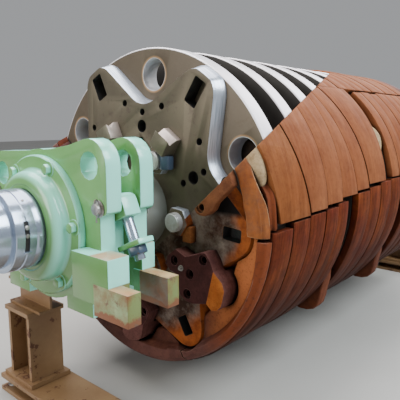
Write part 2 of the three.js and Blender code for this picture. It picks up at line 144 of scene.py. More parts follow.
pick()
bpy.ops.mesh.primitive_plane_add(size=60, location=(0, 0, 0))
floor = bpy.context.object
floor.name = "floor"
pale_floor, tree, shader = start_finish("pale_floor")
place = place_on_object(tree)
cloudy = noise(tree, place, 0.9, 5.0)
tone = blend(tree, cloudy, (0.36, 0.35, 0.33), (0.47, 0.46, 0.44))
feed(tree, shader, {"Base Color": tone, "Roughness": 0.75})
floor.data.materials.append(pale_floor)
floor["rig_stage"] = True

for name, spot, turn, size, power, colour in (
    ("top_light", (-2.0, -1.0, 6.5), (0, -17, 0), 6.0, 760, (1.0, 0.98, 0.98)),
    ("right_light", (5.2, 0.4, 5.8), (47, 0, 92), 4.0, 740, (0.90, 0.97, 1.0)),
    ("front_light", (-1.5, -8.0, 3.4), (71, 0, -10), 4.0, 400, (1.0, 0.98, 0.94)),
    ("rear_light", (0.5, 6.5, 6.0), (-52, 0, -4), 5.0, 420, (1.0, 0.97, 1.0)),
):
    bpy.ops.object.light_add(type="AREA", location=spot, rotation=[math.radians(angle) for angle in turn])
    lamp = bpy.context.object
    lamp.name = name
    lamp.data.size = size
    lamp.data.energy = power
    lamp.data.color = colour
studio = bpy.data.worlds.new("studio")
bpy.context.scene.world = studio
studio.use_nodes = True
sky = studio.node_tree.nodes["Background"]
feed(studio.node_tree, sky, {"Color": (0.95, 0.97, 1.0, 1.0), "Strength": 0.38})

# Stand.
# A short rolled beam under the pads of the housing, on a welded column with a long base.
# Mild steel in brown primer, scuffed at the edges, and bolted to the floor through the base.
shaft_height = 0.95
drum_front = -1.1945


def new_effect(name, inputs, outputs):
    """A node group: the group itself, the values that it is given, and its result."""
    group = bpy.data.node_groups.new(name, "ShaderNodeTree")
    for label, value in inputs:
        group.interface.new_socket(
            name=label, in_out="INPUT", socket_type="NodeSocketFloat"
        ).default_value = value
    for label, kind in outputs:
        group.interface.new_socket(name=label, in_out="OUTPUT", socket_type="NodeSocket" + kind)
    given = group.nodes.new("NodeGroupInput").outputs
    return group, given, group.nodes.new("NodeGroupOutput")


def work_out(tree, operation, first, second=0.0, third=0.0):
    numbers = {0: first, 1: second, 2: third}
    return node(tree, "ShaderNodeMath", numbers, operation=operation).outputs[0]


def remap(tree, value, low, high, to_low=0.0, to_high=1.0):
    ends = {"Value": value, "From Min": low, "From Max": high, "To Min": to_low, "To Max": to_high}
    return node(tree, "ShaderNodeMapRange", ends).outputs["Result"]


def vector_work(tree, operation, first, second=(0, 0, 0)):
    """The vector and the number that a vector operation gives."""
    return node(tree, "ShaderNodeVectorMath", {0: first, 1: second}, operation=operation).outputs


def effect(tree, group, **values):
    return node(tree, "ShaderNodeGroup", values, node_tree=group).outputs


def split(tree, vector):
    return node(tree, "ShaderNodeSeparateXYZ", {"Vector": vector}).outputs


# Blotches of many sizes, as a mask. Amount says how much of the surface they cover.
blotches, given, result = new_effect(
    "blotches", [("Scale", 3.0), ("Amount", 0.22), ("Softness", 0.1)], [("Mask", "Float")]
)
values = {"Vector": place_on_object(blotches), "Scale": given["Scale"], "Detail": 8.0, "Roughness": 0.68}
cloud = node(blotches, "ShaderNodeTexNoise", values).outputs["Fac"]
middle = work_out(blotches, "SUBTRACT", 0.72, given["Amount"])
low = work_out(blotches, "SUBTRACT", middle, given["Softness"])
high = work_out(blotches, "ADD", middle, given["Softness"])
feed(blotches, result, {"Mask": remap(blotches, cloud, low, high)})

# Worn edges: a mask along the outer edges, broken up by noise, and a normal that rounds them.
worn_edges, given, result = new_effect(
    "worn_edges",
    [("Radius", 0.006), ("Scale", 12.0), ("Amount", 1.0)],
    [("Mask", "Float"), ("Normal", "Vector")],
)
rounded = node(worn_edges, "ShaderNodeBevel", {"Radius": given["Radius"]}, samples=6).outputs[0]
flat = node(worn_edges, "ShaderNodeNewGeometry").outputs["Normal"]
edge = remap(worn_edges, vector_work(worn_edges, "DOT_PRODUCT", rounded, flat)["Value"], 0.995, 0.80)
broken = noise(worn_edges, place_on_object(worn_edges), given["Scale"], 6.0)
kept = work_out(worn_edges, "MULTIPLY", edge, remap(worn_edges, broken, 0.40, 0.58))
mask = work_out(worn_edges, "MULTIPLY", kept, given["Amount"])
feed(worn_edges, result, {"Mask": mask, "Normal": rounded})

# Fine grain and pits, as a height.
pitted, given, result = new_effect(
    "pitted", [("Grain", 90.0), ("Pits", 26.0), ("Depth", 0.5)], [("Height", "Float")]
)
place = place_on_object(pitted)
grains = noise(pitted, place, given["Grain"], 5.0)
cells = node(pitted, "ShaderNodeTexVoronoi", {"Vector": place, "Scale": given["Pits"]})
dents = remap(pitted, cells.outputs["Distance"], 0.0, 0.28)
feed(pitted, result, {"Height": work_out(pitted, "MULTIPLY_ADD", dents, given["Depth"], grains)})


def spotted(tree, scale, amount, softness):
    return effect(tree, blotches, Scale=scale, Amount=amount, Softness=softness)["Mask"]


def grainy(tree, grain, pits, depth):
    return effect(tree, pitted, Grain=grain, Pits=pits, Depth=depth)["Height"]


def add_relief(tree, shader, height, strength, distance, normal=None):
    """Roughens the surface by a height, over the rounded normal where there is one."""
    values = {"Height": height, "Strength": strength, "Distance": distance}
    if normal:
        values["Normal"] = normal
    feed(tree, shader, {"Normal": node(tree, "ShaderNodeBump", values).outputs[0]})


def paint(name, colour, faded, under, chips, gloss):
    """A coat of paint, faded in patches, with what lies under it where it is chipped or rubbed."""
    finish, tree, shader = start_finish(name)
    patches = spotted(tree, 2.2, 0.24, 0.16)
    chipped = spotted(tree, 11.0, chips, 0.015)
    edges = effect(tree, worn_edges, Radius=0.004, Scale=14.0, Amount=1.0)
    grain = grainy(tree, 60.0, 20.0, 0.2)
    lost = work_out(tree, "MAXIMUM", chipped, edges["Mask"])
    seen = blend(tree, lost, blend(tree, patches, colour, faded), under)
    feed(tree, shader, {"Base Color": seen, "Roughness": remap(tree, lost, 0.0, 1.0, gloss, 0.75)})
    add_relief(tree, shader, grain, 0.12, 0.002, edges["Normal"])
    return finish


brown_primer = paint(
    "brown_primer", (0.17, 0.085, 0.035), (0.25, 0.15, 0.07), (0.10, 0.04, 0.02), 0.12, 0.5
)


def finished(piece, *finishes):
    """Gives the piece these finishes and no others."""
    piece.data.materials.clear()
    for finish in finishes:
        piece.data.materials.append(finish)
    return piece


for name in ("base", "column", "beam"):
    for end in ("front", "rear"):
        finished(frame["nodes"]["stand_" + name + "_" + end], brown_primer)


def settle(piece, angle=35):
    """Puts the piece's place into its mesh and smooths all but its sharp edges."""
    pick(piece)
    bpy.ops.object.transform_apply(location=True, rotation=True, scale=True)
    bpy.ops.object.shade_smooth_by_angle(angle=math.radians(angle))
    return piece


def soften(piece, width, segments=2, angle=35):
    """Rounds the piece's sharp edges."""
    pick(piece)
    edge = piece.modifiers.new("softened edges", "BEVEL")
    edge.width = width
    edge.segments = segments
    edge.limit_method = "ANGLE"
    edge.angle_limit = math.radians(angle)
    bpy.ops.object.modifier_apply(modifier=edge.name)
    return settle(piece, angle)


def join_pieces(name, pieces):
    pick(*pieces)
    if len(pieces) > 1:
        bpy.ops.object.join()
    joined = bpy.context.object
    joined.name = name
    joined.data.name = name
    return joined


def round_bar(radius, length, middle, turn=(0, 0, 0), sides=32):
    pick()
    bpy.ops.mesh.primitive_cylinder_add(
        vertices=sides, radius=radius, depth=length, location=middle, rotation=turn
    )
    return bpy.context.object


def bolt_head(name, spot, direction, radius, height):
    """A six-sided head on a washer, standing on spot and pointing along direction."""
    head = soften(round_bar(radius, height, (0, 0, height * 0.65), sides=6), radius * 0.12)
    ring = soften(round_bar(radius * 1.45, height * 0.3, (0, 0, 0), sides=24), height * 0.06, 1)
    head = join_pieces(name, [head, ring])
    head.rotation_euler = Vector(direction).to_track_quat("Z", "Y").to_euler()
    head.location = spot
    return settle(head)


def copied(piece, name, matrix):
    """A copy of a piece with its own mesh, moved by the matrix."""
    twin = piece.copy()
    twin.data = piece.data.copy()
    twin.name = name
    bpy.context.scene.collection.objects.link(twin)
    twin.data.transform(matrix)
    if matrix.determinant() < 0:
        twin.data.flip_normals()
    return twin


to_rear = Matrix.Rotation(math.pi, 4, "Z")
dull_zinc, tree, shader = start_finish("dull_zinc")
spots = spotted(tree, 25.0, 0.20, 0.12)
grain = grainy(tree, 220.0, 60.0, 0.2)
tone = blend(tree, spots, (0.42, 0.42, 0.42), (0.17, 0.13, 0.10))
feed(tree, shader, {"Base Color": tone, "Metallic": 0.8, "Roughness": 0.38})
add_relief(tree, shader, grain, 0.15, 0.001)
anchors = [
    bolt_head("anchor", (x, -1.6965 + y, 0.0262), (0, 0, 1), 0.021, 0.024)
    for x in (-0.44, -0.17, 0.17, 0.44)
    for y in (-0.075, 0.075)
]
front_anchors = finished(join_pieces("base_bolts_front", anchors), dull_zinc)
rear_anchors = copied(front_anchors, "base_bolts_rear", to_rear)
for anchors in (front_anchors, rear_anchors):
    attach(anchors, "stand")

# Bearing housing.
# One iron casting with two lug plates, forked feet and square stop blocks, enamelled green.
# The foot tops are machined bare, and the stop blocks below them are chipped and rusty.
enamel, tree, shader = start_finish("green_enamel")
axes = split(tree, place_on_object(tree))
facing = split(tree, node(tree, "ShaderNodeNewGeometry").outputs["Normal"])
edges = effect(tree, worn_edges, Radius=0.006, Scale=16.0, Amount=1.0)
patches = spotted(tree, 1.6, 0.22, 0.2)
chipped = spotted(tree, 14.0, 0.13, 0.03)
rusting = spotted(tree, 5.0, 0.15, 0.10)
bare_spots = spotted(tree, 6.0, 0.22, 0.10)
grain = grainy(tree, 30.0, 12.0, 0.15)
facing_up = remap(tree, facing["Z"], 0.93, 0.98)
sideways = work_out(tree, "ABSOLUTE", axes["X"])
# The machined foot tops lie between these two heights, and the stop blocks below the third.
foot_band = work_out(
    tree, "MULTIPLY", remap(tree, axes["Z"], 0.893, 0.896), remap(tree, axes["Z"], 0.906, 0.903)
)
outboard = work_out(tree, "MULTIPLY", facing_up, remap(tree, sideways, 0.405, 0.42))
bare_top = work_out(tree, "MULTIPLY", foot_band, outboard)
stop = work_out(tree, "MULTIPLY", remap(tree, sideways, 0.43, 0.435), remap(tree, axes["Z"], 0.797, 0.793))
stop_top = work_out(tree, "MULTIPLY", stop, facing_up)
olive = blend(tree, patches, (0.085, 0.215, 0.050), (0.105, 0.250, 0.070))
mid_green = blend(tree, patches, (0.130, 0.330, 0.095), (0.160, 0.380, 0.130))
# Lower down the coat turns a darker olive: painted shade.
coat = blend(tree, remap(tree, axes["Z"], 0.86, 1.0), olive, mid_green)
# The sides that face right and the tops are painted a pale mint: painted light.
lit_sides = work_out(tree, "MAXIMUM", facing["X"], facing["Z"])
coat = blend(tree, remap(tree, lit_sides, 0.2, 0.95), coat, (0.330, 0.880, 0.740))
pale = blend(tree, bare_spots, (0.30, 0.38, 0.20), (0.18, 0.24, 0.10))
# The sides of the stop blocks that face right are painted a duller tone: painted shade.
pale = blend(tree, remap(tree, facing["X"], 0.2, 0.9), pale, (0.16, 0.21, 0.06))
grey = blend(tree, bare_spots, (0.190, 0.165, 0.135), (0.125, 0.102, 0.082))
set_back = remap(tree, axes["Y"], drum_front - 0.56, drum_front - 0.53)
grey_front = work_out(tree, "MULTIPLY", set_back, remap(tree, facing["Y"], -0.2, -0.8))
worn_and_shaded_coat = blend(tree, grey_front, pale, grey)
ragged = work_out(tree, "MULTIPLY_ADD", rusting, 0.03, axes["Z"])
foot_rust = remap(tree, ragged, 0.712, 0.700)
rust_mask = work_out(tree, "MAXIMUM", rusting, work_out(tree, "MAXIMUM", foot_rust, edges["Mask"]))
stop_coat = blend(tree, rust_mask, worn_and_shaded_coat, (0.19, 0.060, 0.016))
body = blend(tree, stop, coat, stop_coat)
tan = blend(tree, bare_spots, (0.50, 0.38, 0.26), (0.42, 0.28, 0.15))
orange_tan = blend(tree, bare_spots, (0.66, 0.34, 0.12), (0.48, 0.18, 0.045))
with_tops = blend(tree, stop_top, blend(tree, bare_top, body, tan), orange_tan)
chips = work_out(tree, "MULTIPLY", chipped, stop)
seen = blend(tree, chips, with_tops, (0.13, 0.065, 0.035))
rough = remap(tree, work_out(tree, "MAXIMUM", bare_top, stop), 0.0, 1.0, 0.24, 0.62)
feed(tree, shader, {"Base Color": seen, "Roughness": rough, "Coat Weight": 0.3, "Coat Roughness": 0.10})
add_relief(tree, shader, grain, 0.16, 0.003, edges["Normal"])
merge_distance = 0.00002


def from_solid(node_name, name):
    """A merged copy of a CAD node's mesh, with its flat faces made whole."""
    piece = copied(frame["nodes"][node_name], name, Matrix.Identity(4))
    piece.parent = None
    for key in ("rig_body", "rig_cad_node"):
        if key in piece:
            del piece[key]
    pick(piece)
    bpy.ops.object.mode_set(mode="EDIT")
    bpy.ops.mesh.select_all(action="SELECT")
    bpy.ops.mesh.remove_doubles(threshold=merge_distance)
    bpy.ops.mesh.dissolve_limited(angle_limit=math.radians(0.8))
    bpy.ops.object.mode_set(mode="OBJECT")
    piece.data.materials.clear()
    return piece


front_housing = from_solid("housing_front", "bearing_housing_front")
finished(soften(front_housing, 0.005, 2, 30), enamel)
rear_housing = copied(front_housing, "bearing_housing_rear", to_rear)
for housing, end in ((front_housing, "front"), (rear_housing, "rear")):
    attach(housing, "stand")
    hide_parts("housing_" + end)

# Hinge pin ends.
# Each of the steel pins that the swing bolts hang on ends in a round washer.
# A split pin through the hinge pin keeps the washer on.
keepers = []
lying = (math.pi / 2, 0, 0)
hinge_side = 0.390
hinge_height = shaft_height + 0.112
for side in (-1, 1):
    for along, outward in ((-0.620, -1), (-0.384, 1)):
        x, y, z = side * hinge_side, drum_front + along, hinge_height
        washer = soften(round_bar(0.034, 0.006, (x, y + outward * 0.003, z), lying), 0.0012, 1)
        pin_end = soften(round_bar(0.0225, 0.022, (x, y + outward * 0.011, z), lying), 0.003)
        pick()
        bpy.ops.mesh.primitive_torus_add(
            major_radius=0.008,
            minor_radius=0.0024,
            major_segments=20,
            minor_segments=8,
            location=(x, y + outward * 0.013, z + 0.029),
            rotation=(0, math.pi / 2, 0),
        )
        eye = settle(bpy.context.object)
        legs = []
        for lean in (-0.10, 0.16):
            middle = (x + lean * 0.02, y + outward * 0.013, z - 0.014)
            legs.append(soften(round_bar(0.0024, 0.075, middle, (0, lean, 0), 10), 0.0008, 1))
        keepers.append(join_pieces("keeper", [washer, pin_end, eye, *legs]))
front_keepers = finished(join_pieces("hinge_pin_keepers_front", keepers), dull_zinc)
rear_keepers = copied(front_keepers, "hinge_pin_keepers_rear", to_rear)
for keepers in (front_keepers, rear_keepers):
    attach(keepers, "stand")


# Flange cover.
# A turned iron cover with a bulging ring, enamelled green like the housing.
# Six bolts hold it, painted together with it.
def polar(radius, degrees):
    return (radius * math.cos(math.radians(degrees)), radius * math.sin(math.radians(degrees)))


def on_drum(radius, degrees, along):
    """The place at this radius and angle from the shaft, this far behind the drum's front face."""
    x, z = polar(radius, degrees)
    return (x, drum_front + along, shaft_height + z)


def reshape(piece, change):
    """Moves each corner to what change gives for its (radius, degrees, distance along)."""
    for corner in piece.data.vertices:
        x, z = corner.co.x, corner.co.z - shaft_height
        turn = math.degrees(math.atan2(z, x))
        corner.co = on_drum(*change(math.hypot(x, z), turn, corner.co.y - drum_front))
    return piece


def turn_on_lathe(name, profile, start=0.0, end=360.0, steps=96):
    """Turns a closed profile of (radius, distance along the shaft) about the shaft."""
    whole = end - start >= 359.99
    pick()
    bpy.ops.mesh.primitive_circle_add(
        vertices=len(profile), radius=1, fill_type="NOTHING" if whole else "NGON"
    )
    piece = bpy.context.object
    piece.name = name
    for corner, (radius, along) in zip(piece.data.vertices, profile):
        corner.co = on_drum(radius, start, along)
    bpy.ops.object.mode_set(mode="EDIT")
    bpy.ops.mesh.select_all(action="SELECT")
    bpy.ops.mesh.spin(
        steps=steps,
        angle=math.radians(end - start),
        center=(0, 0, shaft_height),
        axis=(0, 1, 0),
    )
    bpy.ops.mesh.select_all(action="SELECT")
    bpy.ops.mesh.remove_doubles(threshold=merge_distance)
    bpy.ops.mesh.normals_make_consistent(inside=False)
    bpy.ops.object.mode_set(mode="OBJECT")
    return piece


bulge = [
    (0.196 + 0.040 * math.sin(math.radians(turn)), -0.675 - 0.040 * math.cos(math.radians(turn)))
    for turn in range(0, 91, 15)
]
front_cover = turn_on_lathe(
    "flange_cover_front_turned",
    [
        (0.161, -0.6205), (0.161, -0.706), (0.166, -0.711), (0.180, -0.711), (0.184, -0.715), *bulge,
        (0.236, -0.664), (0.243, -0.653), (0.250, -0.650), (0.294, -0.650), (0.300, -0.644),
        (0.300, -0.6205),
    ],
)
settle(front_cover, 40)
cover_bolts = [
    bolt_head("cover_bolt", on_drum(0.270, turn, -0.650), (0, -1, 0), 0.0225, 0.022)
    for turn in range(6, 366, 60)
]
front_cover = finished(join_pieces("flange_cover_front_turned", [front_cover, *cover_bolts]), enamel)
rear_cover = copied(front_cover, "flange_cover_rear_turned", to_rear)
for cover, end in ((front_cover, "front"), (rear_cover, "rear")):
    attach(cover, "stand")
    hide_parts("flange_cover_" + end)

# Swing bolts.
# A flat forged eye on the hinge pin, a bright rod, a pressure plate and a blued nut.
# They lean out over the feet. The eye and plate are enamelled, the rod and nut are not.
polished, tree, shader = start_finish("polished_steel")
place = place_on_object(tree)
along_shaft = node(tree, "ShaderNodeMapping", {"Vector": place, "Scale": (0.5, 40.0, 0.5)}).outputs[0]
lines = noise(tree, along_shaft, 6.0, 5.0)
smears = spotted(tree, 3.5, 0.18, 0.2)
tone = blend(tree, smears, (0.46, 0.54, 0.68), (0.36, 0.42, 0.52))
# The thick shoulders beside the drum are painted paler and less metallic: a painted reflection of a bright
# room.
axes = split(tree, place)
from_middle = work_out(tree, "ABSOLUTE", axes["Y"])
journal = remap(tree, from_middle, -drum_front + 0.379, -drum_front + 0.383)
seen = blend(tree, journal, (0.50, 0.52, 0.48), tone)
metal = remap(tree, journal, 0.0, 1.0, 0.60, 0.75)
rough = remap(tree, lines, 0.3, 0.7, 0.16, 0.26)
feed(tree, shader, {"Base Color": seen, "Metallic": metal, "Roughness": rough})
add_relief(tree, shader, lines, 0.03, 0.0004)

blued = paint("blued_steel", (0.035, 0.06, 0.10), (0.06, 0.09, 0.14), (0.10, 0.07, 0.06), 0.1, 0.3)


def bar(name, middle, size, turn=(0, 0, 0)):
    pick()
    bpy.ops.mesh.primitive_cube_add(size=1, location=middle, rotation=turn, scale=size)
    bpy.context.object.name = name
    return bpy.context.object


def choose(piece, kind, parts, wanted):
    """Opens the piece for editing with only those edges or faces selected that are wanted."""
    pick(piece)
    bpy.ops.object.mode_set(mode="EDIT")
    bpy.ops.mesh.select_all(action="DESELECT")
    bpy.ops.object.mode_set(mode="OBJECT")
    for part in parts:
        part.select = wanted(part)
    bpy.ops.object.mode_set(mode="EDIT")
    bpy.ops.mesh.select_mode(type=kind)


def swing_bolt(side):
    """Made upright with its hinge at the origin, then leant out and put on its hinge pin."""
    eye = bar("eye", (0, 0, -0.003), (0.088, 0.080, 0.098))
    bpy.ops.object.transform_apply(location=True, rotation=False, scale=True)

    def on_top(edge):
        ends = [eye.data.vertices[index].co for index in edge.vertices]
        return all(end.z > 0.04 for end in ends) and abs(ends[0].y - ends[1].y) > 0.05

    choose(eye, "EDGE", eye.data.edges, on_top)
    bpy.ops.mesh.bevel(offset=0.030, segments=5, affect="EDGES")
    bpy.ops.object.mode_set(mode="OBJECT")
    eye = finished(soften(eye, 0.004), enamel)
    rod = finished(soften(round_bar(0.0222, 0.178, (0, 0, -0.138), sides=40), 0.003), polished)
    plate = bar("pressure_plate", (0, 0, -0.161), (0.136, 0.080, 0.022))
    plate = finished(soften(plate, 0.005), enamel)
    nut = finished(soften(round_bar(0.040, 0.034, (0, 0, -0.188), sides=6), 0.004), blued)
    bolt = join_pieces("swing_bolt", [eye, rod, plate, nut])
    bolt.rotation_euler = (0, math.radians(-25 * side), 0)
    bolt.location = (side * hinge_side, drum_front - 0.502, hinge_height)
    return settle(bolt)


for side, word in ((1, "right"), (-1, "left")):
    front_bolt = swing_bolt(side)
    front_bolt.name = "eye_bolt_front_" + word
    rear_bolt = copied(front_bolt, "eye_bolt_rear_" + word, to_rear)
    for bolt, end in ((front_bolt, "front"), (rear_bolt, "rear")):
        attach(bolt, end + "_" + word + "_bolt")
        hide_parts("swing_bolt_" + end + "_" + word)

# Shaft and clamping rings.
# One forging, turned and polished where it shows: shoulders, journals and stub ends.
# Outside each cover sits a split clamping ring of three bands, drawn together by screws.
front_half = [
    (0.0, -1.130), (0.135, -1.130), (0.147, -1.118), (0.147, -0.840), (0.160, -0.838), (0.160, -0.384),
    (0.164, -0.380), (0.194, -0.378), (0.200, -0.372), (0.200, -0.0003), (0.240, -0.0003),
]
drum_length = 2.389
rear_half = [(radius, drum_length - along) for radius, along in reversed(front_half)]
turned_shaft = turn_on_lathe("turned_shaft", front_half + rear_half)
finished(settle(turned_shaft, 30), polished)
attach(turned_shaft, "rotor")
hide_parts("shaft")


def carve(piece, tool, keep=False):
    """Cuts the tool's shape out of the piece. A tool with a finish leaves it on the cut."""
    pick(piece)
    cutting = piece.modifiers.new("cut", "BOOLEAN")
    cutting.operation = "DIFFERENCE"
    cutting.solver = "EXACT"
    cutting.material_mode = "TRANSFER" if tool.data.materials else "INDEX"
    cutting.object = tool
    bpy.ops.object.modifier_apply(modifier=cutting.name)
    if not keep:
        bpy.data.objects.remove(tool)
    return piece


# A near black finish for the floors and walls of holes, windows and slits: painted shade.
shade_black, tree, shader = start_finish("painted_shade_black")
spots = spotted(tree, 30.0, 0.2, 0.1)
tone = blend(tree, spots, (0.008, 0.008, 0.009), (0.022, 0.019, 0.017))
feed(tree, shader, {"Base Color": tone, "Roughness": 0.6})
clamp = turn_on_lathe(
    "clamp_bands",
    [
        (0.1605, -0.838), (0.165, -0.838), (0.168, -0.835), (0.168, -0.799), (0.1645, -0.796),
        (0.1645, -0.789), (0.168, -0.786), (0.168, -0.7535), (0.1655, -0.751), (0.1655, -0.749),
        (0.167, -0.746), (0.167, -0.722), (0.1645, -0.719), (0.1605, -0.719),
    ],
)
slit_wall = [(0.1612, -0.801), (0.172, -0.801), (0.172, -0.781), (0.1612, -0.781)]
carve(clamp, turn_on_lathe("slit", slit_wall, -23, 21, 12))
# Under the slit lies a black strip: painted shade.
floor_wall = [(0.1606, -0.802), (0.1616, -0.802), (0.1616, -0.780), (0.1606, -0.780)]
slit_floor = turn_on_lathe("slit_floor", floor_wall, -24, 22, 12)
clamp_pieces = [finished(settle(clamp, 30), polished), finished(settle(slit_floor), shade_black)]
for angle, along, radius in ((12, -0.790, 0.0095), (1, -0.791, 0.0085), (52, -0.770, 0.006)):
    turn = (0, math.radians(90 - angle), 0)
    screw = soften(round_bar(radius, 0.014, on_drum(0.164, angle, along), turn, 20), 0.002)
    clamp_pieces.append(finished(screw, dull_zinc))
bridge_at = on_drum(0.166, -23.5, -0.787)
bridge = bar("bridge", bridge_at, (0.010, 0.034, 0.009), (0, math.radians(23.5), 0))
clamp_pieces.append(finished(soften(bridge, 0.0015), polished))
front_clamp = join_pieces("clamp_ring_front", clamp_pieces)
rear_clamp = copied(front_clamp, "clamp_ring_rear", to_rear)
for clamp in (front_clamp, rear_clamp):
    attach(clamp, "rotor")

# Discs.
# Ten thick steel discs, with six pin holes each. Above two slanting lines they are bare, with
# bright rims. Below the lines they are worn down to the seat that the wear caps sit on.
pin_angles = [25.8 + 60 * row for row in range(6)]
pin_circle = 0.670
pin_hole = 0.0785
disc_pitch = 0.255
disc_thickness = 0.094
disc_radius = 0.800
worn_radius = 0.772
# Each slanting line is a plane: its direction, and how far it lies from the drum's front middle.
slanting_lines = (((0.6106, 0.3755, -0.6972), 0.180), ((-0.6106, 0.504, -0.6972), 0.198))

# From the shaft and the nearest pin: two distances, for masks on any plate across the shaft.
pin_distance, given, result = new_effect("pin_distance", [], [("Shaft", "Float"), ("Pin", "Float")])
axes = split(pin_distance, place_on_object(pin_distance))
rise = work_out(pin_distance, "SUBTRACT", axes["Z"], shaft_height)
flat_place = node(pin_distance, "ShaderNodeCombineXYZ", {"X": axes["X"], "Z": rise}).outputs[0]
from_shaft = vector_work(pin_distance, "LENGTH", flat_place)["Value"]
angle = work_out(pin_distance, "ARCTAN2", rise, axes["X"])
past_pin = work_out(pin_distance, "SUBTRACT", angle, math.radians(pin_angles[0]))
folded = work_out(pin_distance, "WRAP", past_pin, math.pi / 6, -math.pi / 6)
over = work_out(pin_distance, "MULTIPLY", from_shaft, work_out(pin_distance, "COSINE", folded))
across = work_out(pin_distance, "MULTIPLY", from_shaft, work_out(pin_distance, "SINE", folded))
folded_place = node(pin_distance, "ShaderNodeCombineXYZ", {"X": over, "Y": across}).outputs[0]
from_pin = vector_work(pin_distance, "DISTANCE", folded_place, (pin_circle, 0, 0))["Value"]
feed(pin_distance, result, {"Shaft": from_shaft, "Pin": from_pin})

# The sides below the two slanting lines, where all is rusty: a mask with sharp limits.
rusty_side, given, result = new_effect("rusty_side", [], [("Mask", "Float")])
drum_middle = (0, drum_front, shaft_height)
from_middle = vector_work(rusty_side, "SUBTRACT", place_on_object(rusty_side), drum_middle)[0]
below = []
for slope, offset in slanting_lines:
    reach = vector_work(rusty_side, "DOT_PRODUCT", from_middle, slope)["Value"]
    below.append(remap(rusty_side, reach, offset, offset + 0.004))
feed(rusty_side, result, {"Mask": work_out(rusty_side, "MAXIMUM", *below)})

disc_steel, tree, shader = start_finish("disc_steel")
axes = split(tree, place_on_object(tree))
distances = effect(tree, pin_distance)
at_rim = remap(tree, distances["Shaft"], 0.7925, 0.7955)
turning_lines = []
for distance, per_metre in ((distances["Shaft"], 130.0), (axes["Y"], 420.0)):
    values = {"W": work_out(tree, "MULTIPLY", distance, per_metre), "Scale": 1.0, "Detail": 3.0}
    turned = node(tree, "ShaderNodeTexNoise", values, noise_dimensions="1D")
    turning_lines.append(turned.outputs["Fac"])
grime = spotted(tree, 3.2, 0.22, 0.16)
stains = spotted(tree, 14.0, 0.12, 0.05)
grain = grainy(tree, 140.0, 55.0, 0.35)
dull = blend(tree, grime, (0.104, 0.078, 0.050), (0.078, 0.057, 0.036))
stained = blend(tree, stains, dull, (0.085, 0.060, 0.035))
halo = work_out(
    tree, "MULTIPLY", remap(tree, distances["Pin"], 0.092, 0.084), remap(tree, axes["Z"], 1.20, 1.34)
)
stained = blend(tree, halo, stained, (0.34, 0.20, 0.10))
# Only the front face of the first disc keeps its stained colour, and only above the slanting lines.
# All other disc faces are painted near black: painted shade for the deep gaps between the discs.
in_front = remap(tree, axes["Y"], drum_front + 0.0022, drum_front + 0.0008)
front_face = work_out(tree, "SUBTRACT", in_front, effect(tree, rusty_side)["Mask"])
gap_shade = blend(tree, grime, (0.038, 0.033, 0.028), (0.026, 0.022, 0.019))
face = blend(tree, front_face, gap_shade, stained)
in_first = remap(tree, axes["Y"], drum_front + 0.12, drum_front + 0.10)
bore = work_out(tree, "MULTIPLY", remap(tree, distances["Pin"], 0.0815, 0.0800), in_first)
bright = blend(tree, grime, (0.62, 0.66, 0.76), (0.46, 0.40, 0.34))
# The rims are bare steel made near white: partly their own bright steel, partly a painted highlight.
rim_tone = blend(tree, grime, (0.97, 0.94, 0.98), (0.90, 0.84, 0.88))
seen = blend(tree, at_rim, blend(tree, bore, face, bright), rim_tone)
rough = remap(tree, work_out(tree, "MAXIMUM", at_rim, bore), 0.0, 1.0, 0.50, 0.36)
metal = remap(tree, at_rim, 0.0, 1.0, 0.30, 0.40)
feed(tree, shader, {"Base Color": seen, "Metallic": metal, "Roughness": rough})
lines = work_out(tree, "ADD", *turning_lines)
add_relief(tree, shader, work_out(tree, "ADD", lines, grain), 0.12, 0.0012)


def drill(radius, centre, near, far, sides=48):
    """A round bar along the shaft's direction, to cut a hole with or to use as a boss."""
    middle = (centre[0], drum_front + (near + far) / 2, shaft_height + centre[1])
    return round_bar(radius, far - near, middle, lying, sides)


def bare_space(margin):
    """The space above both slanting lines, where caps, ring and pin plates are off."""
    space = settle(bar("bare_space", (0, 0, shaft_height), (9, 9, 9)))
    bpy.ops.object.mode_set(mode="EDIT")
    for slope, offset in slanting_lines:
        aim = Vector(slope).normalized()
        spot = Vector(drum_middle) + aim * (offset - margin)
        bpy.ops.mesh.select_all(action="SELECT")
        bpy.ops.mesh.bisect(plane_co=spot, plane_no=aim, use_fill=True, clear_outer=True)
    bpy.ops.mesh.select_all(action="SELECT")
    bpy.ops.mesh.normals_make_consistent(inside=False)
    bpy.ops.object.mode_set(mode="OBJECT")
    return space


cleared = bare_space(0.0)
bare_side = bare_space(0.0008)
disc_wall = [
    (0.2406, 0.002), (0.2426, 0.0), (0.7965, 0.0), (disc_radius, 0.0035), (disc_radius, 0.0905),
    (0.7965, disc_thickness), (0.2426, disc_thickness), (0.2406, 0.092),
]
plain_disc = turn_on_lathe("plain_disc", disc_wall, steps=144)
for angle in pin_angles:
    carve(plain_disc, drill(pin_hole, polar(pin_circle, angle), -0.05, 0.15))
for index in range(10):
    name = "disc_" + str(index + 1).zfill(2)
    disc = copied(plain_disc, "rotor_" + name, Matrix.Translation((0, disc_pitch * index, 0)))
    near, far = disc_pitch * index - 0.02, disc_pitch * index + disc_thickness + 0.02
    worn_wall = [(worn_radius, near), (0.83, near), (0.83, far), (worn_radius, far)]
    carve(disc, carve(turn_on_lathe("worn_off", worn_wall, steps=144), bare_side, keep=True))
    finished(soften(disc, 0.0022, 2, 40), disc_steel)
    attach(disc, "rotor")
    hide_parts(name)
bpy.data.objects.remove(plain_disc)
bpy.data.objects.remove(bare_side)

# Star plates.
# A flame-cut steel plate on each end of the drum, its edge ground to a bright flare, with six
# windows and the bolt holes of the pin plates. Its lower lobes are worn and rusty.
valley_radius = 0.150
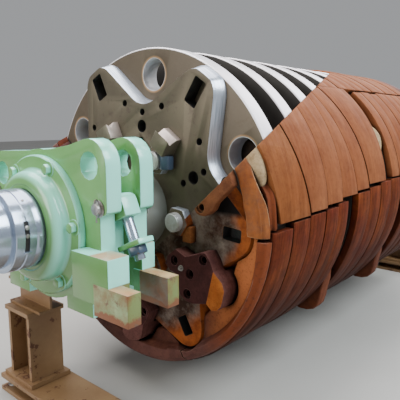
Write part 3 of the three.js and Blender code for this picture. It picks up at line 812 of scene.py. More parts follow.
# Each lobe: distance from the shaft, angle, radius, and its window's two ends and half width.
lobes = [
    (0.600, -5.0, 0.098, (0.552, 0.652, 0.030)),
    (0.670, 55.8, 0.110, (0.620, 0.748, 0.037)),
    (0.670, 115.8, 0.110, (0.620, 0.748, 0.037)),
    (0.640, 175.8, 0.098, (0.590, 0.688, 0.031)),
    (0.640, 235.8, 0.098, (0.590, 0.688, 0.031)),
    (0.640, 300.0, 0.098, (0.590, 0.688, 0.031)),
]


def arc(centre, radius, start, end, steps):
    turns = [start + (end - start) * step / steps for step in range(steps + 1)]
    return [(centre[0] + polar(radius, turn)[0], centre[1] + polar(radius, turn)[1]) for turn in turns]


def star_outline(grow):
    """Out round six lobes and in round six pins, with straight flanks between."""
    valley = valley_radius - grow

    def towards(start, end):
        return math.degrees(math.atan2(end[1] - start[1], end[0] - start[0]))

    def leave(start, end, reach):
        return math.degrees(math.acos(reach / math.dist(start, end)))

    points = []
    for row in range(6):
        circle, angle, radius, _ = lobes[row]
        lobe, reach = polar(circle, angle), radius + grow + valley
        next_lobe = polar(lobes[(row + 1) % 6][0], lobes[(row + 1) % 6][1])
        before, pin = polar(pin_circle, pin_angles[row - 1]), polar(pin_circle, pin_angles[row])
        start = towards(lobe, before) + leave(lobe, before, reach)
        end = towards(lobe, pin) - leave(lobe, pin, reach)
        points += arc(lobe, radius + grow, start, start + (end - start) % 360, 18)
        start = towards(pin, lobe) - leave(pin, lobe, reach)
        end = towards(pin, next_lobe) + leave(pin, next_lobe, lobes[(row + 1) % 6][2] + grow + valley)
        points += arc(pin, valley, start, start - (start - end) % 360, 12)
    return points


def pulled(name, corners, pull):
    """A flat shape through the corners, pulled out along a direction into a solid."""
    pick()
    bpy.ops.mesh.primitive_circle_add(vertices=len(corners), radius=1, fill_type="NGON")
    piece = bpy.context.object
    piece.name = name
    for corner, (x, y, z) in zip(piece.data.vertices, corners):
        corner.co = (x, drum_front + y, shaft_height + z)
    bpy.ops.object.mode_set(mode="EDIT")
    bpy.ops.mesh.select_all(action="SELECT")
    bpy.ops.mesh.extrude_region_move(TRANSFORM_OT_translate={"value": pull})
    bpy.ops.mesh.select_all(action="SELECT")
    bpy.ops.mesh.normals_make_consistent(inside=False)
    bpy.ops.object.mode_set(mode="OBJECT")
    return piece


def cut_plate(name, outline, near, far):
    """A plate cut along an outline in the plane across the shaft, from near to far along it."""
    return pulled(name, [(x, near, z) for x, z in outline], (0, far - near, 0))


def turned_outline(points, degrees):
    cosine, sine = math.cos(math.radians(degrees)), math.sin(math.radians(degrees))
    return [(x * cosine - z * sine, x * sine + z * cosine) for x, z in points]


star_steel, tree, shader = start_finish("star_steel")
place = place_on_object(tree)
axes = split(tree, place)
rusty = effect(tree, rusty_side)["Mask"]
facing = split(tree, node(tree, "ShaderNodeNewGeometry").outputs["Normal"])
ground = remap(tree, work_out(tree, "ABSOLUTE", facing["Y"]), 0.93, 0.80)
grime = spotted(tree, 3.4, 0.22, 0.16)
stains = spotted(tree, 18.0, 0.11, 0.05)
rust_big = spotted(tree, 8.0, 0.24, 0.10)
rust_small = spotted(tree, 21.0, 0.18, 0.10)
grain = grainy(tree, 120.0, 48.0, 0.35)
edges = effect(tree, worn_edges, Radius=0.005, Scale=14.0, Amount=0.9)
across_flare = node(tree, "ShaderNodeMapping", {"Vector": place, "Scale": (2.0, 60.0, 2.0)}).outputs[0]
brushed = noise(tree, across_flare, 4.0, 6.0)
dull = blend(tree, grime, (0.139, 0.116, 0.084), (0.109, 0.092, 0.068))
stained = blend(tree, stains, dull, (0.101, 0.080, 0.062))
streaks = remap(tree, brushed, 0.35, 0.65)
flare_tone = blend(tree, streaks, (0.352, 0.402, 0.492), (0.650, 0.700, 0.790))
clean_tone = blend(tree, ground, stained, flare_tone)
# The middle of the rusty side is scuffed black and grey, and the lobes' ends are orange.
# The hollow under the upper pin plate is painted black: the painted shadow of the plate's arm.
ragged = noise(tree, place, 9.0, 5.0)
outward = work_out(tree, "MULTIPLY_ADD", ragged, 0.16, effect(tree, pin_distance)["Shaft"])
lobe_end = remap(tree, outward, 0.675, 0.735)
scuffed = blend(tree, rust_big, (0.042, 0.022, 0.016), (0.210, 0.165, 0.138))
scuffed = blend(tree, work_out(tree, "MULTIPLY", rust_small, 0.6), scuffed, (0.070, 0.028, 0.016))
orange = blend(tree, rust_small, (0.300, 0.078, 0.018), (0.170, 0.040, 0.012))
face_rust = blend(tree, lobe_end, scuffed, orange)
above = remap(tree, axes["Z"], shaft_height + 0.020, shaft_height + 0.045)
arm_shadow = work_out(tree, "MULTIPLY", above, remap(tree, axes["X"], 0.40, 0.46))
face_rust = blend(tree, arm_shadow, face_rust, (0.006, 0.004, 0.004))
flank_rust = blend(tree, rust_small, (0.280, 0.075, 0.018), (0.120, 0.032, 0.012))
rust_tone = blend(tree, ground, face_rust, flank_rust)
rust_tone = blend(tree, edges["Mask"], rust_tone, (0.36, 0.17, 0.08))
seen = blend(tree, rusty, clean_tone, rust_tone)
clean = work_out(tree, "SUBTRACT", 1.0, rusty)
metal = work_out(tree, "MULTIPLY", clean, remap(tree, ground, 0.0, 1.0, 0.50, 0.65))
clean_rough = remap(tree, ground, 0.0, 1.0, 0.48, 0.30)
rough = work_out(tree, "MAXIMUM", clean_rough, work_out(tree, "MULTIPLY", rusty, 0.7))
look = {"Base Color": seen, "Metallic": metal, "Roughness": rough, "Specular IOR Level": 0.10}
feed(tree, shader, look)
scratches = work_out(tree, "MULTIPLY", brushed, ground)
add_relief(tree, shader, work_out(tree, "ADD", grain, scratches), 0.16, 0.0016, edges["Normal"])

# Each hole of the pin plates: distance from the shaft, degrees from the pin, radius.
small_holes = [
    (0.537, -14.4, 0.0165), (0.537, 14.4, 0.0165), (0.485, 0, 0.0165), (0.415, 0, 0.031),
    (0.345, 0, 0.0165),
]


def faces_front(face):
    return face.normal.y < -0.9


def star_plate():
    """Cut wide, then drawn in towards the front face, which leaves the flare all round."""
    outline = []
    for x, z in star_outline(0.024):
        reach = min(math.hypot(x, z), 0.795) / math.hypot(x, z)
        outline.append((x * reach, z * reach))
    plate = cut_plate("star_plate", outline, -0.008, -0.0005)
    choose(plate, "FACE", plate.data.polygons, faces_front)
    bpy.ops.mesh.inset(thickness=0.007, depth=0.016)
    bpy.ops.mesh.inset(thickness=0.012, depth=0.046)
    bpy.ops.object.mode_set(mode="OBJECT")
    finished(plate, star_steel)
    hole_floors = []
    for _, angle, _, (inner, outer, half) in lobes:
        circle, tilt = (inner + outer) / 2, (0, -math.radians(angle), 0)
        # The window walls are finished black: painted shade.
        window = bar("window", on_drum(circle, angle, -0.035), (outer - inner, 0.2, 2 * half), tilt)
        carve(plate, soften(finished(window, shade_black), 0.009, 3))
        # Below the slanting lines a black floor closes each window: painted shade.
        if angle < 0 or angle > 200:
            floor_size = (outer - inner + 0.01, 0.012, 2 * half + 0.01)
            window_floor = bar("window_floor", on_drum(circle, angle, -0.008), floor_size, tilt)
            hole_floors.append(finished(settle(window_floor), shade_black))
    for angle in pin_angles:
        for radius, turn, hole in small_holes:
            spot = polar(radius, angle + turn)
            # Each hole's walls, and a disc at its bottom, are black: painted shade.
            carve(plate, finished(drill(hole, spot, -0.1, 0.05, 24), shade_black))
            hole_floor = drill(hole * 1.02, spot, -0.022, -0.001, 24)
            hole_floors.append(settle(finished(hole_floor, shade_black)))
    carve(plate, drill(0.2008, (0, 0), -0.1, 0.05, 96))
    return [soften(plate, 0.003, 2, 28), *hole_floors]


# Tie rod ends: a nut on each rod, and a grooved block outside it that locks the pin plates.
def lock_block(angle):
    """The groove runs across the block's outer side, parallel with the drum's rim."""
    section = [
        (-0.150, 0.365), (-0.150, 0.448), (-0.128, 0.428), (-0.100, 0.458), (-0.069, 0.460),
        (-0.069, 0.365),
    ]
    half_length = 0.050
    aim = math.radians(angle)
    start = polar(half_length, angle - 90)
    corners = [(r * math.cos(aim) + start[0], y, r * math.sin(aim) + start[1]) for y, r in section]
    pull = polar(2 * half_length, angle + 90)
    return soften(pulled("block", corners, (pull[0], 0, pull[1])), 0.004)


rod_steel, tree, shader = start_finish("rod_steel")
spots = spotted(tree, 22.0, 0.18, 0.14)
tone = blend(tree, spots, (0.56, 0.58, 0.60), (0.36, 0.34, 0.31))
feed(tree, shader, {"Base Color": tone, "Metallic": 0.4, "Roughness": 0.36})
add_relief(tree, shader, spots, 0.10, 0.001)

machined, tree, shader = start_finish("machined_beige")
lines = spotted(tree, 40.0, 0.2, 0.2)
facing = split(tree, node(tree, "ShaderNodeNewGeometry").outputs["Normal"])
outer_side = remap(tree, work_out(tree, "ABSOLUTE", facing["Y"]), 0.97, 0.90)
# Faces that look up are beige and the rest olive: partly bare metal, partly a painted highlight.
upward = work_out(tree, "MULTIPLY", outer_side, remap(tree, facing["Z"], 0.1, 0.35))
olive = blend(tree, lines, (0.160, 0.142, 0.100), (0.125, 0.110, 0.080))
beige = blend(tree, lines, (0.62, 0.52, 0.47), (0.50, 0.42, 0.38))
feed(tree, shader, {"Base Color": blend(tree, upward, olive, beige), "Metallic": 0.45, "Roughness": 0.42})
add_relief(tree, shader, lines, 0.10, 0.001)

# Streaks that run round the drum, and the waves of a cast skin, as values about a half.
cast_skin, given, result = new_effect("cast_skin", [], [("Streaks", "Float"), ("Waves", "Float")])
place = place_on_object(cast_skin)
drawn_out = node(cast_skin, "ShaderNodeMapping", {"Vector": place, "Scale": (1.0, 13.0, 1.0)}).outputs[0]
values = {"Vector": drawn_out, "Scale": 3.4, "Detail": 6.0, "Roughness": 0.6}
streaks = node(cast_skin, "ShaderNodeTexNoise", values).outputs["Fac"]
feed(cast_skin, result, {"Streaks": streaks, "Waves": noise(cast_skin, place, 9.0, 4.0)})

# How bright a rusty surface is: painted shade, dark in narrow gaps and down to Low near the floor.
painted_shade, given, result = new_effect("painted_shade", [("Low", 1.0)], [("Brightness", "Float")])
open_air = node(painted_shade, "ShaderNodeAmbientOcclusion", {"Distance": 0.03}, samples=6).outputs["AO"]
height = split(painted_shade, place_on_object(painted_shade))["Z"]
shade_to_floor = remap(painted_shade, height, shaft_height - 0.70, shaft_height + 0.05, given["Low"], 1.0)
in_gaps = remap(painted_shade, open_air, 0.42, 0.90, 0.06, 1.0)
feed(painted_shade, result, {"Brightness": work_out(painted_shade, "MULTIPLY", in_gaps, shade_to_floor)})


def brightened(tree, colour, amount):
    values = {0: colour, "Scale": amount}
    return node(tree, "ShaderNodeVectorMath", values, operation="SCALE").outputs[0]


def rust_finish(
    name, dark, middle, light, edge_tone, scale=3.0, edge=0.7, depth=0.0030, streaky=0.14, warm=None,
    low=1.0,
):
    """Rust in soft patches, with streaks that run round the drum, and painted shade in its narrow gaps.

    warm is a colour that takes over towards the right of the drum, between two distances.
    low is how bright the finish still is near the floor, where it is darkened as painted shade.
    """
    finish, tree, shader = start_finish(name)
    large = spotted(tree, scale, 0.22, 0.14)
    small = spotted(tree, scale * 4.5, 0.18, 0.12)
    specks = spotted(tree, scale * 17, 0.12, 0.08)
    skin = effect(tree, cast_skin)
    streaks = skin["Streaks"]
    edges = effect(tree, worn_edges, Radius=0.006, Scale=12.0, Amount=edge)
    grain = grainy(tree, 55.0, 24.0, 0.5)
    patchy = blend(tree, large, middle, light)
    patchy = blend(tree, work_out(tree, "MULTIPLY", small, 0.45), patchy, dark)
    if warm:
        tone, left, right = warm
        sideways = split(tree, place_on_object(tree))["X"]
        wavy = work_out(tree, "MULTIPLY_ADD", streaks, 0.10, sideways)
        patchy = blend(tree, remap(tree, wavy, left, right), patchy, tone)
    streaked = brightened(tree, patchy, remap(tree, streaks, 0.35, 0.70, 1 - streaky, 1 + streaky))
    dotted = blend(tree, work_out(tree, "MULTIPLY", specks, 0.5), streaked, dark)
    rubbed = blend(tree, edges["Mask"], dotted, edge_tone)
    shaded = brightened(tree, rubbed, effect(tree, painted_shade, Low=low)["Brightness"])
    rough = remap(tree, streaks, 0.3, 0.7, 0.85, 0.62)
    metal = remap(tree, edges["Mask"], 0.0, 1.0, 0.0, 0.3)
    look = {"Base Color": shaded, "Metallic": metal, "Roughness": rough, "Specular IOR Level": 0.14}
    feed(tree, shader, look)
    height = work_out(tree, "MULTIPLY_ADD", skin["Waves"], 3.0, grain)
    add_relief(tree, shader, height, 0.35, depth, edges["Normal"])
    return finish


block_rust = rust_finish(
    "block_rust", (0.10, 0.028, 0.009), (0.24, 0.075, 0.022), (0.32, 0.120, 0.040),
    (0.38, 0.18, 0.08), 6.0,
)
orange_rust = rust_finish(
    "orange_rust", (0.13, 0.030, 0.007), (0.40, 0.090, 0.016), (0.46, 0.140, 0.028),
    (0.34, 0.15, 0.06), 6.0,
)


def tie_ends():
    made = []
    tie_circle = 0.306
    for row in range(6):
        angle = pin_angles[row] - (31 if row == 0 else 30)
        nut_turn = (math.pi / 2, math.radians(30 - angle), 0)
        nut = round_bar(0.072, 0.047, on_drum(tie_circle, angle, -0.0935), nut_turn, 6)
        rod = settle(round_bar(0.0455, 0.075, on_drum(tie_circle, angle, -0.107), lying, 48))
        choose(rod, "FACE", rod.data.polygons, faces_front)
        bpy.ops.mesh.inset(thickness=0.006)
        bpy.ops.mesh.extrude_region_move(TRANSFORM_OT_translate={"value": (0, -0.004, 0)})
        bpy.ops.object.mode_set(mode="OBJECT")
        rod = soften(finished(rod, rod_steel if row < 4 else block_rust), 0.0035)
        if row == 0:
            middle = (0.3645, drum_front - 0.089, shaft_height - 0.082)
            block = soften(bar("worn_block", middle, (0.056, 0.040, 0.078)), 0.007, 3)
        else:
            block = lock_block(angle)
        finished(block, block_rust if row in (0, 4, 5) else machined)
        made += [finished(soften(nut, 0.006), star_steel), rod, block]
    middle = (0.235, drum_front - 0.105, shaft_height + 0.245)
    locking_screw = soften(round_bar(0.036, 0.064, middle, sides=6), 0.005)
    return [*made, finished(locking_screw, blued)]


front_star = join_pieces("star_plate_front_cut", [*star_plate(), *tie_ends()])
mirror = Matrix.Diagonal((1, -1, 1, 1))
rear_star = copied(front_star, "star_plate_rear_cut", mirror)
for star, end, slot in ((front_star, "front", "bare_steel"), (rear_star, "rear", "rusty_steel")):
    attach(star, "rotor")
    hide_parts("star_plate_" + end)

# Wear caps.
# Cast manganese steel shells in rows round the drum, each a hand's breadth to two long, hooked
# on the pins. Scrap has rubbed them smooth, and they are rusted salmon above and red below.
# The red below is made darker than its rust alone: painted shade.
upper_rust = rust_finish(
    "upper_cap_rust", (0.115, 0.029, 0.010), (0.210, 0.062, 0.021), (0.258, 0.090, 0.034),
    (0.32, 0.15, 0.08), 2.2, 0.5, 0.0022, 0.10,
)
front_rust = rust_finish(
    "front_cap_rust", (0.105, 0.027, 0.008), (0.192, 0.055, 0.014), (0.240, 0.082, 0.024),
    (0.36, 0.17, 0.08), 3.0, 0.7, 0.0022, 0.16,
)
# The lower caps' dark red is partly their redder rust, partly painted shade.
lower_rust_and_shade = rust_finish(
    "lower_cap_rust_and_shade", (0.036, 0.005, 0.001), (0.098, 0.012, 0.002), (0.170, 0.036, 0.006),
    (0.34, 0.11, 0.035), 3.6, 0.8, 0.0028, 0.40, low=0.22,
)
cap_seat, cap_top = 0.774, 0.812


def cap(start, end, near, far, top):
    """A shell from angle start to end, between two seams.

    Each seam gives its distance along at 3 and at 33 degrees, and half of its width.
    """
    profile = [(cap_seat, 0.0), (top, 0.0), (top, 1.0), (cap_seat, 1.0)]
    shell = turn_on_lathe("cap", profile, start, end, max(3, math.ceil((end - start) / 2.5)))

    def lean(radius, angle, along):
        share = (angle - 3) / 30 if -10 < start < 100 else 0.0
        front = near[0] + (near[1] - near[0]) * share + near[2]
        back = far[0] + (far[1] - far[0]) * share - far[2]
        return radius, angle, front + (back - front) * along

    return reshape(shell, lean)


def cap_row(name, spans, nodes):
    """spans: (start angle, end angle, near, far, outer radius, material) of each cap."""
    made = []
    for start, end, near, far, top, finish in spans:
        shell = carve(cap(start, end, near, far, top), cleared, keep=True)
        if shell.data.polygons:
            made.append(soften(finished(shell, finish), 0.0036, 2, 30))
        else:
            bpy.data.objects.remove(shell)
    row = join_pieces(name, made)
    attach(row, "rotor")
    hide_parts(*nodes)
    return row


# How much the caps differ in thickness, and half of the gap between plain ones.
wear = [-0.0015, 0.0008, 0.0004, 0.0002, -0.0004, 0.0024, -0.0015, 0.0]
plain_gap = 0.0022
upper_seams = [
    (-0.015, -0.093, 0.0022), (0.245, 0.148, 0.0030), (0.411, 0.398, 0.0012), (0.576, 0.592, 0.0010),
    (0.762, 0.708, 0.0012), (0.924, 0.862, 0.0026), (1.161, 1.161, 0.0020),
]
upper_rear_seams = [
    (along, along, 0.0018) for along in (1.278, 1.402, 1.530, 1.657, 1.785, 1.912, 2.040, 2.167, 2.292)
]
# The joint between the upper and the lower row: distance along, and angle.
joint_steps = [
    (-0.15, -0.4), (0.0, 0.2), (0.20, 1.0), (0.40, 1.9), (0.60, 3.3), (0.76, 4.3), (0.92, 5.2), (1.07, 6.6),
    (2.4, 8.0),
]


def joint_at(along):
    """The angle where the upper row ends and the lower one begins. It climbs in steps."""
    for (near, low), (far, high) in zip(joint_steps, joint_steps[1:]):
        if along <= far:
            return low + (high - low) * (along - near) / (far - near)
    return joint_steps[-1][1]


def stretches(seams):
    return list(zip(seams, seams[1:]))


upper_spans = []
for number, (near, far) in enumerate(stretches(upper_seams) + stretches(upper_rear_seams)):
    start = joint_at((near[0] + far[0]) / 2) + 0.2
    top = cap_top + wear[number % 8]
    finish = front_rust if number == 0 else upper_rust
    upper_spans.append((start, 50.5 + 300 * wear[number % 8], near, far, top, finish))
cap_row("caps_upper_right", upper_spans, ["cap_upper_right_front", "cap_upper_right_rear"])
lower_seams = [0.097, 0.246, 0.400, 0.530, 0.651]
lower_middle_seams = [0.768, 0.930, 1.090, 1.250, 1.413]
lower_rear_seams = [1.533, 1.660, 1.788, 1.915, 2.043, 2.170, 2.292]


def lower_edge(near, far):
    over = [start for start, _, low, high, _, _ in upper_spans if low[0] < far and high[0] > near]
    return min([*over, joint_at(near) + 0.2]) - 0.55


lower_spans = []
for number, (near, far) in enumerate(
    stretches(lower_seams) + stretches(lower_middle_seams) + stretches(lower_rear_seams)
):
    top = cap_top + wear[(number + 3) % 8]
    seams = (near, near, plain_gap), (far, far, plain_gap)
    lower_spans.append((-64.0, lower_edge(near, far), *seams, top, lower_rust_and_shade))
lower_nodes = ["cap_lower_right_front", "cap_lower_right_middle", "cap_lower_right_rear"]
cap_row("caps_lower_right", lower_spans, lower_nodes)
all_round = [
    0.097, 0.224, 0.351, 0.478, 0.606, 0.733, 0.861, 0.988, 1.116, 1.243, 1.371, 1.498, 1.626, 1.753, 1.881,
    2.008, 2.136, 2.292,
]
for name, start, end, cad_name, finish in (
    ("caps_bottom", 236.0, 295.6, "cap_bottom", lower_rust_and_shade),
    ("caps_lower_left", 176.0, 235.6, "cap_lower_left", lower_rust_and_shade),
    ("caps_upper_left", 116.0, 175.6, "cap_upper_left", upper_rust),
    ("caps_top", 51.6, 115.6, "cap_top_rear", upper_rust),
):
    spans = []
    for number, (near, far) in enumerate(stretches(all_round)):
        if name == "caps_top" and far < 0.9:
            continue
        top = cap_top + wear[(number * 3 + 1) % 8]
        spans.append((start, end, (near, near, plain_gap), (far, far, plain_gap), top, finish))
    cap_row(name, spans, [cad_name])

# End rings.
# Cast steel segments round the first disc. Each has a dish inside and a worn lip that stands out
# in front of it, and the first wear cap sits behind the lip. The rear ring is whole.
# The ring's maroon rust turns orange towards the right: partly rust, partly painted light.
ring_rust_and_light = rust_finish(
    "ring_rust_and_light", (0.040, 0.016, 0.014), (0.090, 0.034, 0.030), (0.130, 0.054, 0.042),
    (0.34, 0.20, 0.15), 3.0, 0.9, warm=((0.160, 0.038, 0.012), 0.50, 0.66),
)
# The dish is dark maroon, bright orange to the right: rust, with painted shade and painted light.
dish_rust_lit_and_shaded = rust_finish(
    "dish_rust_lit_and_shaded", (0.030, 0.010, 0.008), (0.080, 0.026, 0.018), (0.125, 0.042, 0.024),
    (0.22, 0.10, 0.06), 5.0, 0.6, warm=((0.380, 0.118, 0.040), 0.48, 0.62),
)
worn_lip_rust = rust_finish(
    "worn_lip_rust", (0.085, 0.040, 0.030), (0.185, 0.050, 0.013), (0.300, 0.105, 0.030),
    (0.46, 0.33, 0.20), 5.0, 1.0, 0.0026, 0.30,
)
scoured = rust_finish(
    "scoured_tan", (0.12, 0.060, 0.026), (0.38, 0.26, 0.14), (0.50, 0.38, 0.23),
    (0.56, 0.44, 0.30), 7.0, 0.4, 0.0016,
)
# The pin plates sit turned this many degrees past their pins.
plate_turn = 3.2


def take_room(piece, row):
    """Leaves room for the star plate, and for the pin plate's boss where there is one."""
    carve(piece, cut_plate("star_room", star_outline(0.018), -0.13, 0.0))
    if row >= 3:
        boss_at = turned_outline([(0.616, 0.018)], pin_angles[row] + plate_turn)[0]
        carve(piece, drill(0.096, boss_at, -0.13, -0.0001))
    carve(piece, cleared, keep=True)
    return piece


def colour_dish(piece, edge):
    """Gives the part inside a radius the darker finish of the dish."""
    piece.data.materials.append(dish_rust_lit_and_shaded)
    for face in piece.data.polygons:
        if math.hypot(face.center.x, face.center.z - shaft_height) < edge:
            face.material_index = 1
    return piece


def ring_segment(row, start, end):
    steps = max(4, math.ceil((end - start) / 2.5))
    # The last segment's lip ends early, because the worn lip of the first comes down to meet it.
    lip_end = end - 2.9 if row == 5 else end
    lip_wall = [
        (0.640, -0.0008), (0.640, -0.048), (0.648, -0.056), (0.722, -0.066), (0.740, -0.104),
        (0.748, -0.110), (0.776, -0.108), (0.798, -0.088), (0.805, -0.062), (0.774, -0.062),
        (0.774, -0.0008),
    ]
    lip = turn_on_lathe("lip", lip_wall, start, lip_end, steps)

    # The lip is worn thin near the right-hand joint and stays wide towards the bottom.
    def wear_lip(radius, angle, along):
        if 0.715 < radius < 0.755:
            radius += 0.037 * math.cos(math.radians(2.2 * ((angle + 26 + 180) % 360 - 180))) - 0.008
        return radius, angle, along

    finished(reshape(lip, wear_lip), ring_rust_and_light)
    cap_wall = [(0.7745, -0.058), (0.806, -0.058), (0.812, -0.046), (0.812, 0.0935), (0.7745, 0.0935)]
    first_cap = turn_on_lathe("first_cap", cap_wall, start, end - 0.3, steps)
    finished(first_cap, lower_rust_and_shade)
    soften(take_room(lip, row), 0.004, 2, 30)
    soften(take_room(first_cap, 0), 0.004, 2, 30)
    return join_pieces("ring_segment_" + str(row + 1), [colour_dish(lip, 0.728), first_cap])


def worn_front():
    """The first segment of the upper right row: its worn lip, a dark hollow and a pale nose."""
    top = 27.0
    lip_wall = [
        (0.650, -0.0008), (0.650, -0.050), (0.684, -0.078), (0.694, -0.106), (0.700, -0.112),
        (0.744, -0.111), (0.770, -0.102), (0.786, -0.082), (0.792, -0.070), (0.760, -0.064),
        (0.700, -0.0008),
    ]
    lip = turn_on_lathe("lip", lip_wall, -2.9, top, 20)

    # Upwards the lip gets lower, and its far edge bends forward round the nose.
    def wear_lip(radius, angle, along):
        share = max(0.0, min(1.0, angle / top))
        bend = 0.036 * math.sin(math.pi * max(0.0, min(1.0, (angle - 7) / 19)))
        if radius > 0.72:
            forward = bend * (along + 0.112) / 0.050
            return radius + 0.006 - (radius - 0.700) * 0.58 * share, angle, along - forward
        if along < -0.06:
            return radius + 0.010 - 0.030 * share, angle, along
        return radius, angle, along

    finished(reshape(lip, wear_lip), worn_lip_rust)
    hollow_wall = [
        (0.740, -0.0008), (0.740, -0.062), (0.786, -0.064), (0.789, -0.046), (0.802, -0.038),
        (0.803, -0.030), (0.794, -0.022), (0.790, -0.0008),
    ]
    hollow = turn_on_lathe("hollow", hollow_wall, -0.9, 50.0, 22)

    def sink(radius, angle, along):
        share = max(0.0, min(1.0, (angle - 10) / 5))
        return (radius - 0.030 * share if radius > 0.775 else radius), angle, along

    finished(reshape(hollow, sink), ring_rust_and_light)
    nose_turn = 22.0
    pick()
    bpy.ops.mesh.primitive_uv_sphere_add(
        segments=48,
        ring_count=24,
        radius=1,
        location=on_drum(0.752, nose_turn, -0.053),
        rotation=(0, -math.radians(nose_turn), 0),
        scale=(0.048, 0.044, 0.122),
    )
    nose = finished(settle(bpy.context.object), scoured)
    for piece in (lip, hollow):
        soften(take_room(piece, 0), 0.003, 2, 30)
    carve(nose, cleared, keep=True)
    return join_pieces("ring_segment_1", [colour_dish(lip, 0.688), hollow, settle(nose)])


for row, start, end in (
    (0, None, None), (2, 116.0, 175.6), (3, 176.0, 235.6), (4, 236.0, 295.4), (5, 296.0, 358.9)
):
    segment = worn_front() if row == 0 else ring_segment(row, start, end)
    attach(segment, "rotor")
    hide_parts("end_ring_front_" + str(row + 1))

rear_profile = [
    (0.735, 2.3898), (0.735, 2.493), (0.741, 2.499), (0.786, 2.499), (0.798, 2.491), (0.804, 2.469),
    (0.806, 2.434), (0.812, 2.399), (0.812, 2.2955), (0.774, 2.2955), (0.774, 2.3898),
]
rear_ring = turn_on_lathe("ring_rear", rear_profile, steps=144)
carve(rear_ring, cut_plate("star_room", star_outline(0.005), drum_length, 2.52))
finished(soften(rear_ring, 0.004, 2, 30), ring_rust_and_light)
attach(rear_ring, "rotor")
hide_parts("end_ring_rear")

# Pin plates.
# Thick cast plates with two ears, bolted over the pins' ends, each with a round boss that fills
# the pin hole's mouth. Their faces are dark, and the boss is bright rust.
plate_rust = rust_finish(
    "plate_rust", (0.016, 0.006, 0.006), (0.046, 0.013, 0.012), (0.078, 0.024, 0.022),
    (0.20, 0.085, 0.085), 5.0, 1.0, 0.0022,
)
# The plates' sides get a lighter copy of the face rust: partly rust, partly painted light.
lit_side_rust = rust_finish(
    "plate_side_rust_lit", (0.040, 0.015, 0.014), (0.110, 0.042, 0.038), (0.160, 0.066, 0.056),
    (0.26, 0.13, 0.10), 5.0, 1.0, 0.0022,
)
arm_rust = rust_finish(
    "arm_rust", (0.055, 0.018, 0.010), (0.150, 0.052, 0.024), (0.220, 0.080, 0.032),
    (0.34, 0.16, 0.07), 6.0, 1.0,
)
low_side = [
    (0.385, -0.068), (0.437, -0.053), (0.462, -0.095), (0.496, -0.128), (0.539, -0.125), (0.573, -0.110),
]
boss_side = [
    (0.635, -0.049), (0.673, -0.055), (0.697, -0.030), (0.702, 0.0), (0.696, 0.026), (0.680, 0.073),
    (0.653, 0.095), (0.588, 0.106),
]
high_side = [
    (0.551, 0.133), (0.509, 0.149), (0.486, 0.129), (0.459, 0.093), (0.426, 0.052), (0.393, 0.047),
    (0.359, 0.042), (0.338, -0.014), (0.343, -0.061),
]
plate_outline = [*low_side, *boss_side, *high_side]
plate_front = -0.1486
upper_arm = [
    (0.446, 0.055), (0.458, 0.036), (0.478, 0.028), (0.505, 0.028), (0.524, 0.036), (0.552, 0.058),
    (0.568, 0.090), (0.600, 0.120), (0.637, 0.153), (0.662, 0.176), (0.650, 0.215), (0.600, 0.300),
    (0.480, 0.300), (0.440, 0.110),
]


def ringed_hole(plate, centre, radius):
    """A bolt hole with a round countersink, and a black disc at its bottom: painted shade."""
    carve(plate, drill(radius * 1.55, centre, -0.2, -0.138, 28))
    carve(plate, drill(radius, centre, -0.2, -0.085, 28))
    return finished(settle(drill(radius * 1.02, centre, -0.100, -0.080, 28)), shade_black)


def pin_plate(row):
    """One casting: it lies on the star plate, and beyond the star's edge it reaches the disc."""
    angle = pin_angles[row] + plate_turn
    plate = cut_plate("plate", turned_outline(plate_outline, angle), plate_front, -0.012)
    carve(plate, cut_plate("star_room", star_outline(0.026), -0.0706, 0.0))
    # A cut across the front marks off the bright round end.
    across = Vector(turned_outline([(0.957, 0.290)], angle)[0]).to_3d().xzy
    x, z = turned_outline([(0.635, -0.049)], angle)[0]
    cut_at = Vector((x, drum_front, shaft_height + z))
    pick(plate)
    bpy.ops.object.mode_set(mode="EDIT")
    bpy.ops.mesh.select_all(action="SELECT")
    bpy.ops.mesh.bisect(plane_co=cut_at, plane_no=across)
    bpy.ops.object.mode_set(mode="OBJECT")
    soften(plate, 0.006, 3, 25)
    finished(plate, plate_rust, lit_side_rust)
    if row == 5:
        plate.data.materials.append(orange_rust)
    boss = len(plate.data.materials) - 1
    for face in plate.data.polygons:
        beyond = (face.center - cut_at).dot(across)
        front = face.normal.y < -0.6
        face.material_index = 1 if not front else boss if beyond > 0.001 else 0
    x, z = turned_outline([(0.434, -0.011)], angle)[0]
    spot = (x, drum_front + plate_front, shaft_height + z)
    pieces = [plate, finished(bolt_head("small_bolt", spot, (0, -1, 0), 0.010, 0.010), dull_zinc)]
    holes = [(0.515, 0.110), (0.525, -0.092), (0.489, 0.0), (0.381, -0.010)]
    pieces += [ringed_hole(plate, centre, 0.0155) for centre in turned_outline(holes, angle)]
    settle(plate)
    return pieces


def cut_off_plate():
    """Only this arm of the first plate is left, on two spacers: the slanting line takes the rest."""
    arm = finished(soften(cut_plate("plate", upper_arm, plate_front, -0.106), 0.006, 3, 25), arm_rust)
    pieces = [arm]
    # The spacers are finished black: painted shade under the arm.
    for spot in ((0.500, 0.086), (0.596, 0.178)):
        pieces.append(finished(settle(drill(0.028, spot, -0.110, -0.0706)), shade_black))
    pieces.append(ringed_hole(arm, (0.483, 0.064), 0.0155))
    settle(carve(arm, cleared, keep=True))
    return pieces


for row in (0, 3, 4, 5):
    pieces = cut_off_plate() if row == 0 else pin_plate(row)
    plate = join_pieces("pin_plate_cast_" + str(row + 1), pieces)
    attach(plate, "rotor")
    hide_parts("pin_plate_" + str(row + 1))

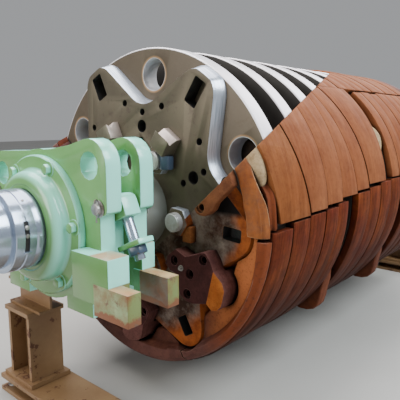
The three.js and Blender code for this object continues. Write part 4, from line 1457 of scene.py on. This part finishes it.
# Hammer pins.
# Long forged bars through all the discs, held in at their ends by the pin plates.
# Only the parts inside the open slots show, rubbed by the hammers.
# The pins' rust is made near black: rust darkened as painted shade for the slots they lie in.
shaded_pin_rust = rust_finish(
    "shaded_pin_rust", (0.015, 0.011, 0.009), (0.030, 0.022, 0.018), (0.055, 0.030, 0.018),
    (0.12, 0.09, 0.07), 4.0,
)
for row in (1, 3, 4, 5, 6):
    finished(frame["nodes"]["hammer_pin_" + str(row)], shaded_pin_rust)

# Hammers.
# Cast bells of manganese steel that swing on the pins in the open slots. Their round tops are
# scoured to a pale tan, and their striking ends are rounded off by wear.
hammer_rust = rust_finish(
    "hammer_rust", (0.035, 0.011, 0.008), (0.090, 0.024, 0.012), (0.160, 0.045, 0.016),
    (0.28, 0.12, 0.06), 6.0,
)
hammer_half_thickness = 0.045
hammer_bore = 0.0789


def hammer(row, gap, name):
    x, z = polar(pin_circle, pin_angles[row])
    outline = [
        *arc((0, 0), 0.130, 0, 180, 20),
        (-0.128, -0.060), (-0.112, -0.120), (-0.104, -0.165), (-0.088, -0.212), (-0.058, -0.240),
        (-0.020, -0.250), (0.028, -0.249), (0.066, -0.236), (0.092, -0.206), (0.106, -0.160),
        (0.114, -0.110), (0.128, -0.055),
    ]
    middle = disc_pitch * (gap + 1) - 0.057
    near, far = middle - hammer_half_thickness, middle + hammer_half_thickness
    bell = cut_plate(name, [(x + a, z + b) for a, b in outline], near, far)
    carve(bell, drill(hammer_bore, (x, z), near - 0.02, far + 0.02))
    finished(soften(bell, 0.010, 4, 40), hammer_rust, scoured)
    for face in bell.data.polygons:
        outward = math.hypot(face.center.x, face.center.z - shaft_height)
        if outward > 0.765 and row == 0:
            face.material_index = 1
    return bell


for name, row, gap, body in (
    ("hammer_upper_5", 0, 4, "upper_hammer_middle"),
    ("hammer_lower_3", 5, 2, "lower_hammer_front"),
    ("hammer_lower_6", 5, 5, "lower_hammer_rear"),
):
    bell = hammer(row, gap, name + "_bell")
    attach(bell, body)
    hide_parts(name)
bpy.data.objects.remove(cleared)

# The box round the visual model: its lowest and highest corners.
low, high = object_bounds()
